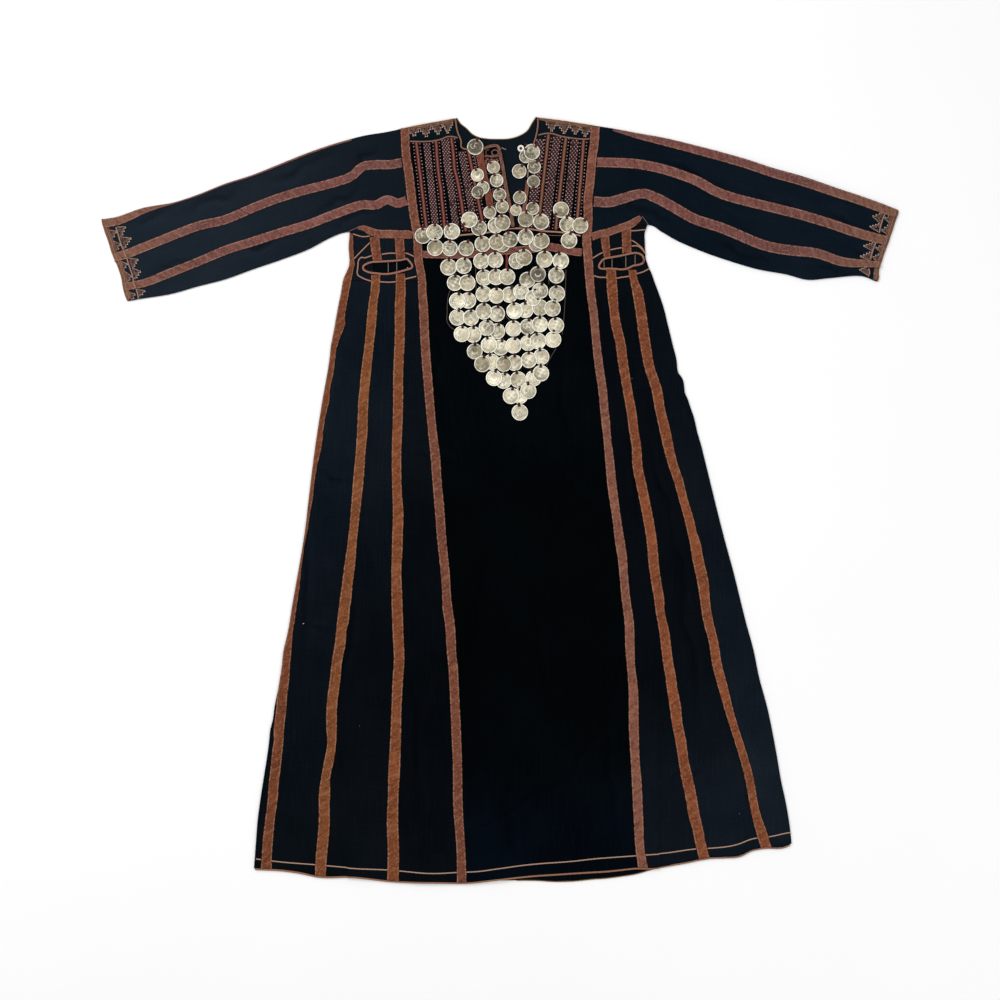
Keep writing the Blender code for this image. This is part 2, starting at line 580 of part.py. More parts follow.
def make_sleeve(side, rows):
    outer = [sleeve_loop(row, FOLD_R) for row in rows]
    inner = [sleeve_loop(row, LAYER_GAP / 2) for row in rows]
    tube("sleeve_" + side, outer, inner, NAVY)
    cuff = rows[0]
    along = Vector((cuff.bottom_x - cuff.top_x, cuff.bottom_y - cuff.top_y)).normalized()
    sign = -1 if cuff.top_x < 0 else 1
    away = Vector((-along.y, along.x))
    if away.x * sign < 0:
        away = -away
    shifts = [away * SEAM, away * (SEAM + CUFF_BINDING)]
    outer = [sleeve_loop(cuff, FOLD_R, tuple(s)) for s in shifts]
    inner = [sleeve_loop(cuff, LAYER_GAP / 2, tuple(s)) for s in shifts]
    tube("cuff_binding_" + side, outer, inner, RUST)


# ---------------------------------------------------------------- upper pieces
def make_yoke():
    left_bottom = [p for p in YOKE_BOTTOM if p[0] < 27]
    right_bottom = [p for p in YOKE_BOTTOM if p[0] > 35][:-1]
    left = [SHOULDER_LEFT] + left_bottom + [(26, 491.4)]
    left += [(x - 1.0, y - 0.4) for x, y in SLIT_LEFT_EDGE[::-1]]
    left += list(NECK_LEFT_FRONT[::-1])
    slab("yoke_left", left, FRONT_Z, CLOTH, NAVY)
    right = [(34, 492.2)] + right_bottom + [(157.6, 482), SHOULDER_RIGHT]
    right += list(SLIT_RIGHT_EDGE[:0:-1])
    slab("yoke_right", right, FRONT_Z, CLOTH, NAVY)


def ring_offset(points, distance):
    """A closed outline moved sideways, outward for a positive distance."""
    count = len(points)
    area = sum(points[i][0] * points[(i + 1) % count][1] - points[(i + 1) % count][0] * points[i][1]
               for i in range(count))
    sign = -1.0 if area > 0 else 1.0
    moved = []
    for i in range(count):
        before, after = Vector(points[i - 1]), Vector(points[(i + 1) % count])
        along = (after - before).normalized()
        moved.append((points[i][0] - sign * along.y * distance,
                      points[i][1] + sign * along.x * distance))
    return moved


def make_underarm():
    left = [(-236.0, 484.0), (-236.0, 467.6), (-264.8, 438.8), (-269.6, 435.4)]
    left += [(seam_left(y) + SEAM / 2, y) for y in (418.0, 398.3)]
    left += [(-142.2, 398.3), (-149.2, 440.0), (-153.2, 480.2), (-160, 480.6), (-200, 482.5)]
    slab("underarm_panel_left", left, FRONT_Z, CLOTH, NAVY,
         hole=ring_offset(RING_LEFT, -RING_WIDTH / 2))
    right = [(235.9, 494.8), (235.9, 473.2), (248.6, 461.8), (260.6, 451.8), (262.2, 440),
             (267.2, 425), (273.0, 410), (277.6, 398.3), (163.5, 398.3), (159.7, 440.0),
             (158.5, 475.2)]
    right += list(SEAM_RIGHT)
    slab("underarm_panel_right", right, FRONT_Z, CLOTH, NAVY,
         hole=ring_offset(RING_RIGHT, -RING_WIDTH / 2))
    for side, ring in (("left", RING_LEFT), ("right", RING_RIGHT)):
        slab("slit_ring_" + side, ring_offset(ring, RING_WIDTH / 2), BAND_Z, RING, RUST,
             hole=ring_offset(ring, -RING_WIDTH / 2))
    slab("gusset_left", GUSSET_LEFT, FRONT_Z, CLOTH, NAVY)
    slab("armhole_band_left", ARMHOLE_BAND_LEFT, BAND_Z, BAND, ROSE)
    slab("armhole_band_right", ARMHOLE_BAND_RIGHT, BAND_Z, BAND, ROSE)


def make_button():
    sides = 16
    rim, hole = ([(BUTTON[0] + r * math.cos(2 * math.pi * i / sides),
                   BUTTON[1] + r * math.sin(2 * math.pi * i / sides)) for i in range(sides)]
                 for r in (BUTTON_RADIUS, BUTTON_HOLE))
    slab("button", rim, CLOTH + SEAM, BUTTON_HEIGHT, BONE, hole=hole, roughness=0.35)


# ---------------------------------------------------------------- coins
def temporary(bm):
    mesh = bpy.data.meshes.new("operand")
    bmesh.ops.recalc_face_normals(bm, faces=bm.faces)
    bm.to_mesh(mesh)
    bm.free()
    obj = bpy.data.objects.new("operand", mesh)
    bpy.context.scene.collection.objects.link(obj)
    return obj


def coin_outline(x, y, diameter, turn):
    return [(x + diameter / 2 * math.cos(2 * math.pi * (i + turn) / COIN_SIDES),
             y + diameter / 2 * math.sin(2 * math.pi * (i + turn) / COIN_SIDES))
            for i in range(COIN_SIDES)]


def make_coin_row(name, level, coins):
    base = COIN_Z[level]
    first = coins[0]
    body = add_object(name, slab_mesh(coin_outline(*first, 0.0), base, base + COIN),
                      SILVER, 0.4, 0.85)
    operands = []
    for i, (x, y, diameter) in enumerate(coins[1:], 1):
        low = base + (COIN_STEP if i % 2 else 0.0)
        outline = coin_outline(x, y, diameter, 0.17 * (i % 5))
        operands.append(temporary(slab_mesh(outline, low, low + COIN)))
    for (ax, ay, ad), (bx, by, bd) in zip(coins, coins[1:]):
        start = Vector((ax, ay + THREAD_REACH * ad))
        stop = Vector((bx, by + THREAD_REACH * bd))
        along = (stop - start).normalized() * 1.5
        across = Vector((-along.y, along.x)).normalized() * THREAD_WIDTH / 2
        corners = [start - along - across, stop + along - across,
                   stop + along + across, start - along + across]
        low = base + (COIN + COIN_STEP - THREAD_HEIGHT) / 2
        operands.append(temporary(slab_mesh([tuple(c) for c in corners], low,
                                            low + THREAD_HEIGHT)))
    for operand in operands:
        joint = body.modifiers.new("join", "BOOLEAN")
        joint.operation = "UNION"
        joint.solver = "EXACT"
        joint.object = operand
        depsgraph = bpy.context.evaluated_depsgraph_get()
        mesh = bpy.data.meshes.new_from_object(body.evaluated_get(depsgraph))
        body.modifiers.clear()
        body.data = mesh
        bpy.data.objects.remove(operand, do_unlink=True)
    body.data.name = name
    return body


# ---------------------------------------------------------------- assembly
for existing in list(bpy.data.objects):
    bpy.data.objects.remove(existing, do_unlink=True)

make_back()
make_centre_front()
make_gore("gore_left_outer", "a", "b", 2)
make_gore("gore_left_middle", "b", "c", 1)
make_gore("gore_left_inner", "c", "d", 2)
make_gore("gore_right_inner", "e", "f", 1)
make_gore("gore_right_middle", "f", "g", 2)
make_side_panel_left()
make_side_panel_right()
make_yoke()
make_underarm()
make_gusset_right()
make_sleeve("left", SLEEVE_LEFT)
make_sleeve("right", SLEEVE_RIGHT)
slab("placket", PLACKET, BAND_Z, BAND, ROSE)

make_seam_band("a", (), [476.0, 440.0, 418.0] + STATIONS, RUST)
make_seam_band("b", (), [408.4] + STATIONS, RUST)
make_seam_band("c", (), [410.4] + STATIONS, RUST)
make_seam_band("d", band_top_rows("d"), STATIONS, ROSE)
make_seam_band("e", band_top_rows("e"), STATIONS, ROSE)
make_seam_band("f", (), [417.4] + STATIONS, RUST)
make_seam_band("g", (), [417.4] + STATIONS, RUST)
for band_name, band_rows in SLEEVE_BANDS.items():
    strip(band_name, band_rows, BAND_Z, BAND, ROSE)
strip("yoke_band", YOKE_BAND, BAND_Z, BAND, ROSE)
strip("front_edge_right", FRONT_EDGE_RIGHT, BAND_Z, BAND, ROSE)
make_hem_binding()
make_button()
for row_name, (row_level, row_coins) in COIN_ROWS.items():
    make_coin_row(row_name, row_level, row_coins)
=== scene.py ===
"""Looks of the flat-laid thobe dress: cloth shells, bands, cords, embroidery, coins.

All lengths are written in millimetres and turned into metres on the way into the meshes.
The garment lies on its back: +Z up, neck towards +Y.
"""
import math
import random
from collections import namedtuple

import bpy
import numpy as np
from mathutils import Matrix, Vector
from mathutils.geometry import delaunay_2d_cdt


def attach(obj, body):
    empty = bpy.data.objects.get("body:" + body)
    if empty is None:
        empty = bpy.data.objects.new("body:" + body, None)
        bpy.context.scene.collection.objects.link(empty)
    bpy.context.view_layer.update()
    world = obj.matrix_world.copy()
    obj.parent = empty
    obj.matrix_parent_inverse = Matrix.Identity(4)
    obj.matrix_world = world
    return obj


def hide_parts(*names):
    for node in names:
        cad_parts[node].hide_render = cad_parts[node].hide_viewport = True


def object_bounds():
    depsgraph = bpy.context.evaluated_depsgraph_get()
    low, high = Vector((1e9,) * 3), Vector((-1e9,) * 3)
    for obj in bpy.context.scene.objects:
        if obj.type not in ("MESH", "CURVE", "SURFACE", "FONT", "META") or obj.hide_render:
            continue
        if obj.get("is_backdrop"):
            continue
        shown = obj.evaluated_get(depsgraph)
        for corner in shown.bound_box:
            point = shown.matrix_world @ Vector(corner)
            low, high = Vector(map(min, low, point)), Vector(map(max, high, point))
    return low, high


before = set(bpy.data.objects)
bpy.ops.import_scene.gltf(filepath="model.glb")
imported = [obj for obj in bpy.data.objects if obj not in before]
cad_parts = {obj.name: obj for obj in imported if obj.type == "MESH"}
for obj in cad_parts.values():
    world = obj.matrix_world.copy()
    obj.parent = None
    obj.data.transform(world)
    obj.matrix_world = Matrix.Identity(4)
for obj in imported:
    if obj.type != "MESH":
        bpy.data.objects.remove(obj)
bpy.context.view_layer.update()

MM = 0.001
PIXEL = 1.82                # mm of the garment's plane covered by one pixel of the view
VIEW_SIZE = 1000            # pixels along each side of the view
LENS, SENSOR = 50.0, 36.0
WORLD_LIGHT, KEY_LIGHT, FILL_LIGHT = 0.75, 45.0, 20.0
SIDES = {"left": -1.0, "right": 1.0}     # sign of x on each side of the garment

# ---------------------------------------------------------------- levels, as in the CAD (mm)
CLOTH = 1.2                 # wall of the cloth
LAYER_GAP = 0.4             # between the back and the front
SEAM = 0.3                  # between two panels
FRONT_Z = CLOTH + LAYER_GAP
TOP_Z = FRONT_Z + CLOTH
FOLD_R = TOP_Z / 2.0        # radius of a folded edge
BAND_LIFT = 0.3             # underside of an applied band above the cloth
BAND = 0.9                  # wall of a band
COIN = 1.2                  # thickness of a coin
STACK = BAND_LIFT + BAND    # upper side of a band above the cloth
BACK_FLAP = 45.0            # how far a side panel reaches in on the back
HEM_Y = -690.0              # about where the hem lies
HEM_LEFT_Y, HEM_RIGHT_Y = -671.0, -622.0    # and at its two corners
WAIST_Y = 486.0             # about where the yoke and the sleeves meet the skirt
GRID = 5.0                  # spacing of the points on the upper cloth
COARSE = 11.0               # and on the hidden cloth below

# ---------------------------------------------------------------- shapes (mm)
# Each seam band of the skirt: height y, left edge, right edge.
BAND_EDGES = {
    "a": (
        (486, -275, -267.5), (450, -275, -266.5), (440, -273, -266), (425, -275, -264.5),
        (420, -278, -266), (400, -286, -270), (380, -289, -274), (350, -295, -279.5),
        (330, -299, -282), (320, -300.5, -281.5), (300, -304, -289), (280, -308, -296),
        (260, -310, -299.5), (230, -314.5, -303), (200, -319.5, -309.5), (180, -323.5, -310.5),
        (160, -327, -315.5), (130, -332, -321), (100, -336, -324), (60, -341, -333),
        (20, -346, -339), (0, -348.5, -341), (-20, -351, -345), (-60, -356, -351),
        (-80, -359, -355.5), (-100, -361.5, -358), (-120, -365, -361), (-160, -372.5, -365),
        (-200, -379.5, -371), (-220, -382.5, -373.5), (-240, -386, -377), (-260, -390, -378.5),
        (-280, -395, -380), (-300, -397, -382), (-320, -401, -383), (-340, -403, -385),
        (-360, -406, -387.5), (-380, -407.5, -388.5), (-420, -412, -393), (-440, -412, -394),
        (-460, -415, -396), (-500, -419, -400.5), (-520, -421.5, -403), (-540, -422.5, -404),
        (-580, -427, -409.5), (-620, -432, -413), (-660, -434.5, -415.5), (-676, -436, -415)),
    "b": (
        (412, -234, -217.5), (380, -235.5, -219), (360, -238.5, -222.5), (340, -241, -223.5),
        (280, -246.5, -229.5), (220, -254, -235.5), (200, -255.5, -237.5), (180, -258, -239),
        (160, -258.5, -240), (120, -260.5, -241), (80, -263, -245), (60, -265, -246),
        (-80, -277.5, -260.5), (-120, -283.5, -263.5), (-160, -288.5, -268.5),
        (-180, -291.5, -270), (-200, -294, -273), (-220, -296.5, -274.5), (-240, -298.5, -279.5),
        (-260, -300.5, -280.5), (-300, -307, -288), (-320, -309, -289.5), (-380, -316, -296.5),
        (-420, -316, -297), (-440, -314.5, -298), (-480, -321, -303), (-500, -324.5, -308),
        (-540, -330, -309), (-560, -330, -310), (-580, -330, -309.5), (-660, -336, -315.5),
        (-686, -337, -317)),
    "c": (
        (414, -189.5, -172.5), (380, -190, -171.5), (350, -191.5, -172.5), (300, -191.5, -173),
        (220, -194.5, -176), (180, -194.5, -176), (60, -197, -179.5), (0, -195.5, -177.5),
        (-20, -195, -175.5), (-60, -196, -176.5), (-100, -197, -177.5), (-120, -197.5, -179),
        (-180, -197.5, -177.5), (-240, -195.5, -175.5), (-300, -193.5, -174), (-320, -195, -175.5),
        (-380, -197.5, -179), (-440, -200, -180), (-500, -203.5, -182), (-540, -204, -184.5),
        (-580, -206, -185), (-640, -204.5, -183.5), (-694, -205.5, -184)),
    "d": (
        (676, -181, -165), (625, -178.5, -162.5), (600, -175, -158.5), (525, -166, -149.5),
        (475, -158, -142), (440, -156.5, -141), (400, -149.5, -134.5), (375, -149, -133.5),
        (350, -147.5, -131), (300, -145.5, -129), (200, -138, -121.5), (120, -130.5, -114.5),
        (80, -126.5, -109), (40, -123.5, -106.5), (-20, -118.5, -101), (-60, -115.5, -98.5),
        (-140, -107.5, -91), (-180, -105, -88.5), (-200, -104.5, -86), (-220, -101, -83),
        (-260, -98, -80), (-280, -96.5, -79.5), (-300, -94.5, -77), (-340, -92, -75),
        (-420, -88.5, -71), (-480, -86, -69), (-560, -85, -67.5), (-640, -79, -63),
        (-698, -78.5, -60.5)),
    "e": (
        (678, 165, 181.5), (650, 163.3, 179.8), (625, 160, 176.3), (575, 155.3, 171.7),
        (550, 152.3, 168.7), (500, 151.8, 168.3), (475, 149.5, 166), (440, 152, 168.5),
        (360, 159.5, 175), (340, 162.5, 178), (320, 164.5, 179.5), (240, 172.5, 188.5),
        (200, 178.5, 194.5), (160, 182.5, 198), (140, 184.5, 200.5), (120, 187, 201.5),
        (80, 190.5, 206.5), (20, 196, 213), (-40, 205, 221), (-80, 209.5, 227.5),
        (-100, 213, 230.5), (-140, 217.5, 233), (-180, 221, 237), (-220, 226, 243),
        (-280, 228.5, 245), (-300, 230.5, 245.5), (-340, 233.5, 250.5), (-420, 234.5, 252.5),
        (-480, 238, 254.5), (-500, 239, 256.5), (-580, 243, 260.5), (-640, 247, 263.5),
        (-674, 252, 270)),
    "f": (
        (418, 193, 211), (380, 194.5, 214), (340, 199.5, 216.5), (320, 201.5, 220),
        (280, 210.5, 229), (260, 213, 231.5), (200, 223, 240.5), (160, 230, 248),
        (120, 235.5, 253), (100, 239, 256.5), (60, 241, 259.5), (20, 249, 268), (-80, 267, 286),
        (-120, 270.5, 289.5), (-160, 276.5, 295.5), (-180, 280, 299), (-200, 282.5, 299.5),
        (-240, 289.5, 308), (-300, 297, 316), (-320, 300.5, 320), (-340, 303, 322.5),
        (-380, 309, 330), (-400, 311.5, 331.5), (-440, 319, 339), (-480, 325.5, 344.5),
        (-500, 328.5, 349.5), (-540, 337, 358), (-580, 344, 365), (-600, 350, 370),
        (-620, 354, 373.5), (-656, 362.5, 382.5)),
    "g": (
        (418, 233, 248), (400, 236, 250.5), (380, 240, 259), (360, 243.5, 263), (280, 255, 274.5),
        (240, 262.5, 281.5), (200, 275, 295), (160, 282.5, 301.5), (140, 287, 307), (60, 307, 325),
        (40, 314, 332), (0, 325.5, 342), (-40, 336.5, 354), (-60, 341, 358.5), (-80, 345.5, 365.5),
        (-100, 348.5, 369), (-160, 360.5, 381), (-180, 363.5, 382), (-220, 369.5, 388),
        (-260, 380, 397.5), (-300, 386, 404), (-340, 396.5, 414.5), (-380, 408, 424),
        (-500, 444, 460), (-580, 459.5, 476.5), (-600, 464.5, 484), (-638, 476, 496))}
LEFT_EDGE = (
    (490, -273), (460, -275.5), (425, -275), (400, -285.5), (380, -289), (350, -295), (300, -304),
    (280, -308), (260, -310), (180, -323.5), (100, -336), (0, -348.5), (-40, -353), (-200, -379.5),
    (-240, -386), (-280, -395), (-300, -397), (-340, -403), (-380, -411), (-400, -413.5),
    (-420, -418.5), (-440, -420.5), (-540, -435.5), (-580, -441), (-640, -445.5), (-690, -449.5))
RIGHT_EDGE = (
    (490, 263), (455, 264.5), (425, 268), (415, 274.5), (400, 280), (342, 300), (325, 304),
    (280, 315), (250, 322), (238, 323), (230, 325), (224, 330), (200, 336), (193, 337), (185, 341),
    (170, 346), (150, 353), (120, 360), (100, 366), (80, 371), (-80, 411), (-120, 422),
    (-220, 447), (-280, 463), (-320, 471), (-380, 487), (-460, 503), (-520, 513.5), (-540, 518),
    (-615, 530), (-690, 533))
# Hem: how far down the front and the back reach at x.
Hem = namedtuple("Hem", "x front back")
HEM = [Hem(*row) for row in (
    (-450, -671.5, -671.5), (-436, -672, -672), (-398, -674, -674), (-362, -679, -679),
    (-334, -685, -684), (-264, -686, -686), (-206, -693, -692), (-111, -696, -696),
    (-61, -696.6, -697), (-3, -690, -694), (66, -683, -693), (100, -680.5, -695),
    (136, -678.5, -694), (170, -676.4, -690.5), (192, -675, -689), (220, -672.6, -685.5),
    (248, -670, -681), (275, -670.5, -673.5), (317, -664, -664), (340, -660, -660),
    (364, -655, -655), (383, -652, -652), (406, -651, -651), (438, -648, -648),
    (459, -638, -638), (480, -634, -634), (521, -631, -631), (531.5, -626, -626),
    (541, -622, -622))]
HEM_CORD = ((-447, -654), (-398, -660), (-334, -665), (-264, -671), (-206, -674), (-111, -680),
            (-78, -678.5), (-36, -676), (-3, -671), (83, -661), (140, -657), (164, -654),
            (248, -648), (302, -643.5), (359, -636), (380, -635), (432, -628), (459, -618),
            (490, -614), (527, -606))

# Long shallow folds of the skirt and shorter creases, each as a soft ridge.
Fold = namedtuple("Fold", "top_x hem_x half_width height")
FOLD_TOP = 110.0
FOLDS = [Fold(*row) for row in (
    (-300, -378, 26, 2.6), (-224, -262, 22, 1.8), (-150, -134, 26, 2.2), (-60, 0, 34, 2.8),
    (40, 95, 36, 3.2), (130, 190, 30, 2.2), (224, 312, 24, 2.4), (272, 432, 28, 2.0))]
Crease = namedtuple("Crease", "x1 y1 x2 y2 half_width height")
CREASES = [Crease(*row) for row in (
    # skirt
    (-344, 30, -350, -310, 7, 1.6), (-296, 300, -318, 120, 7, 1.2),
    (-110, 330, -96, 150, 9, 1.2), (118, 260, 128, 60, 8, 1.1), (240, 150, 262, -60, 7, 1.0),
    (-20, -60, -40, -330, 11, 1.4), (60, -140, 110, -420, 10, 1.5),
    (330, -120, 372, -380, 8, 1.3), (-250, -120, -292, -420, 8, 1.2),
    (-150, -330, -134, -610, 9, 1.3), (200, -330, 214, -600, 8, 1.2),
    (420, -330, 470, -560, 8, 1.2), (-396, -380, -414, -600, 6, 1.0),
    (20, -480, 30, -640, 10, 1.3), (-366, -210, -300, -236, 6, 0.9),
    (-60, -392, 40, -384, 7, 0.8), (300, -500, 366, -486, 6, 0.9), (-330, 60, -268, 34, 6, 0.8),
    (96, -20, 178, 10, 7, 0.8), (-160, 96, -60, 70, 8, 0.8), (232, -478, 262, -484, 4, 1.1),
    (440, -536, 486, -546, 4, 1.1), (-424, -412, -380, -418, 4, 1.0),
    (230, -236, 206, -400, 6, 1.5), (208, -392, 126, -512, 6, 1.6),
    (132, -506, -34, -602, 6, 1.5), (126, 26, 198, -36, 6, 1.3), (194, -28, 224, -104, 6, 1.2),
    (-290, 300, -350, -40, 7, 1.6), (276, 106, 322, -48, 7, 1.3), (318, -36, 356, -216, 7, 1.4),
    # sleeves
    (-250, 560, -330, 510, 9, 2.0), (-236, 520, -300, 492, 7, 1.8),
    (-300, 620, -420, 566, 10, 1.6), (-380, 470, -500, 436, 8, 1.4),
    (-470, 556, -580, 512, 9, 1.5), (-560, 430, -640, 404, 7, 1.2),
    (-600, 520, -668, 492, 7, 1.2), (-640, 450, -684, 436, 6, 1.0),
    (-216, 640, -262, 590, 9, 1.3), (226, 560, 316, 512, 9, 2.0), (236, 524, 296, 500, 7, 1.8),
    (300, 628, 412, 578, 10, 1.6), (392, 478, 500, 436, 8, 1.4), (470, 566, 570, 520, 9, 1.5),
    (566, 434, 640, 420, 7, 1.2), (590, 532, 668, 500, 7, 1.2), (640, 460, 690, 446, 6, 1.0),
    (206, 640, 258, 596, 9, 1.3))]

# Sleeves: pairs of points on the upper and the lower folded edge, cuff first.
Sleeve = namedtuple("Sleeve", "top_x top_y bottom_x bottom_y")
SLEEVES = {
    "left": [Sleeve(*row) for row in (
        (-724.5, 510.5, -677, 361.5), (-695, 515, -650, 366), (-650, 530, -600, 374),
        (-600, 539, -550, 388), (-550, 555, -500, 401), (-500, 575, -450, 419),
        (-450, 591, -400, 436), (-400, 611, -350, 455), (-350, 631, -310, 476),
        (-300, 648, -278, 487), (-250, 662, -240, 484.6), (-205, 669.5, -200, 483.3),
        (-173.6, 676.6, -153.5, 481.0))],
    "right": [Sleeve(*row) for row in (
        (726, 527, 688, 397), (700, 536, 655, 407), (650, 554, 600, 403),
        (600, 572, 560, 400), (550, 589, 520, 410), (500, 603, 470, 419),
        (450, 619, 425, 432), (400, 633, 375, 449), (350, 646, 325, 470),
        (300, 658, 295, 487), (250, 667, 270, 500), (212, 674.5, 219, 493),
        (174, 680.5, 158.4, 476.0))]}

# Applied bands: centre x, y and width.
STRIPS = {
    "sleeve_left_band_top": (
        (-721, 502, 14), (-695, 507, 14), (-675, 514.5, 13), (-650, 525, 10), (-625, 532, 6),
        (-600, 537.6, 3), (-550, 553.6, 2.4), (-500, 573.4, 2.4), (-450, 589.4, 2.6),
        (-400, 609.2, 3), (-350, 629.2, 3), (-300, 646.2, 3), (-270, 654.6, 2.6)),
    "sleeve_left_band_middle": (
        (-702.4, 440, 15), (-675, 448, 15), (-650, 458, 15), (-600, 478, 15), (-550, 497, 15),
        (-500, 509, 15), (-450, 530, 15), (-400, 549, 15), (-350, 564, 15), (-300, 577, 15),
        (-270, 588, 15), (-250, 605, 15), (-225, 609, 15), (-200, 609, 15), (-178.8, 613, 15)),
    "sleeve_left_band_lower": (
        (-684.6, 387, 13), (-650, 393, 13), (-600, 412, 14), (-550, 432, 14), (-500, 453, 15),
        (-450, 469, 15), (-400, 485, 15), (-350, 500, 15), (-300, 519, 15), (-270, 530, 15),
        (-250, 536, 15), (-225, 536, 15), (-205, 545, 15), (-185, 539, 15), (-169.8, 544, 15)),
    "sleeve_right_band_top": (
        (721, 520, 14), (700, 528, 15), (650, 546, 15), (600, 562, 15), (550, 579, 15),
        (500, 593, 15), (450, 610, 15), (400, 624.6, 15), (350, 638, 14), (300, 650.6, 13),
        (250, 661.6, 9), (225, 668, 6), (205, 672.6, 3)),
    "sleeve_right_band_middle": (
        (704.6, 470, 15), (650, 485, 16), (600, 502, 16), (550, 517, 16), (500, 530, 16),
        (450, 542, 16), (400, 557, 16), (350, 583, 16), (325, 592, 16), (300, 600, 16),
        (250, 610, 16), (200, 613, 16), (176.9, 613.5, 16)),
    "sleeve_right_band_lower": (
        (692, 427, 9), (665, 429, 12), (625, 432, 15), (575, 448, 16), (530, 453, 17),
        (485, 461, 17), (450, 474, 17), (425, 485, 17), (400, 495, 17), (350, 512, 17),
        (325, 526, 17), (280, 550, 17), (262, 556.5, 16), (250, 555, 16), (225, 548, 17),
        (200, 541, 17), (170.9, 542, 17)),
    "yoke_band": (
        (-141, 446, 13), (-110, 445, 13), (-60, 446, 14), (-30, 449, 14), (0, 452, 14),
        (30, 453, 14), (60, 456, 14), (90, 459.5, 15), (110, 456, 15), (130, 451.5, 14),
        (149.2, 449.2, 14)),
    "front_edge_right": (
        (50.4, 580, 6.4), (47.6, 555, 7), (44.6, 530, 7), (41.6, 510, 7), (37.6, 493.6, 7))}
ARMHOLE_STRIPS = {
    "left": (
        ((-258, 494, 5), (-247, 493.4, 10), (-238, 489, 13), (-222, 483.4, 15), (-200, 482.8, 15.4),
         (-178, 482, 15), (-168, 482, 15.4), (-159.6, 480.6, 13)),
        ((-228.6, 478, 18), (-226, 455, 17.4), (-222.7, 434.8, 16.6)),
        ((-183.6, 478, 17), (-182, 458, 17), (-180.6, 438.6, 17))),
    "right": (
        ((167, 477.6, 14), (180, 482.4, 14), (198, 486.6, 14), (218, 493.6, 14),
         (236, 500, 14), (248, 507.4, 12.6), (256, 514, 7)),
        ((190, 482, 16), (192.6, 460, 15), (195, 441.6, 12)),
        ((229.4, 494, 18), (230.4, 470, 17), (230.6, 448.8, 17)))}
SHOULDER = {"left": (-173.0, 676.5), "right": (173.4, 680.3)}

# Outlines of the flat upper pieces.
YOKE_BOTTOM = ((-152.6, 484), (-100, 484), (-50, 485), (0, 489), (30, 492), (60, 491),
               (85, 488), (115, 485), (158.6, 482))
SLIT_LEFT_EDGE = ((1.6, 638.6), (5, 611), (9, 593), (13, 569), (17, 542), (21.5, 520),
                  (27.4, 494))
SLIT_RIGHT_EDGE = ((34, 494), (38, 510), (41, 530), (44, 555), (47, 580), (55, 620),
                   (61.8, 649), (65.8, 663), (68.8, 682), (69, 693.4))
NECK_LEFT_FRONT = ((-82.4, 693.4), (-79, 677), (-76.5, 667), (-71.2, 653), (-69, 640),
                   (-60, 636.6), (-30, 637))
NECK_BACK = ((-79, 694.3), (-72, 684), (-62, 676), (-50, 664.5), (-40, 659.4), (-25, 656.4),
             (-5, 655.5), (20, 657), (35, 661.6), (50, 671), (58, 684), (66, 696.3))
PLACKET = ((-38.6, 637.4), (-20, 639.6), (-8, 642.4), (1.2, 640)) + SLIT_LEFT_EDGE[1:] + (
    (4, 492.4), (-15.4, 494), (-21, 520), (-28, 550), (-34, 590))
RING = {
    "left": ((-248.6, 424), (-243, 428.5), (-235, 431.4), (-222, 432.5), (-205, 433.4),
             (-190, 434.4), (-178, 436), (-169, 437.3), (-164.6, 433), (-160.6, 427.5),
             (-159.4, 424), (-162, 420.6), (-170, 418), (-180, 415), (-190, 412.5),
             (-200, 410.6), (-212, 410), (-225, 411.4), (-235, 412.5), (-243, 415),
             (-248, 418)),
    "right": ((180, 425), (183, 431), (187, 436), (192, 438.5), (200, 440), (212, 442),
              (225, 444.5), (238, 447.4), (247, 448.4), (254, 447), (259.4, 443),
              (261.6, 437), (261, 431.6), (257, 428.5), (250, 426.6), (242, 425),
              (236, 422), (230, 419.6), (222, 418.5), (210, 419.4), (196, 420),
              (187, 419.6), (181.4, 421))}
RING_WIDTH = 4.2            # of the binding round a pocket slit
BUTTON = (38.0, 639.0)      # centre

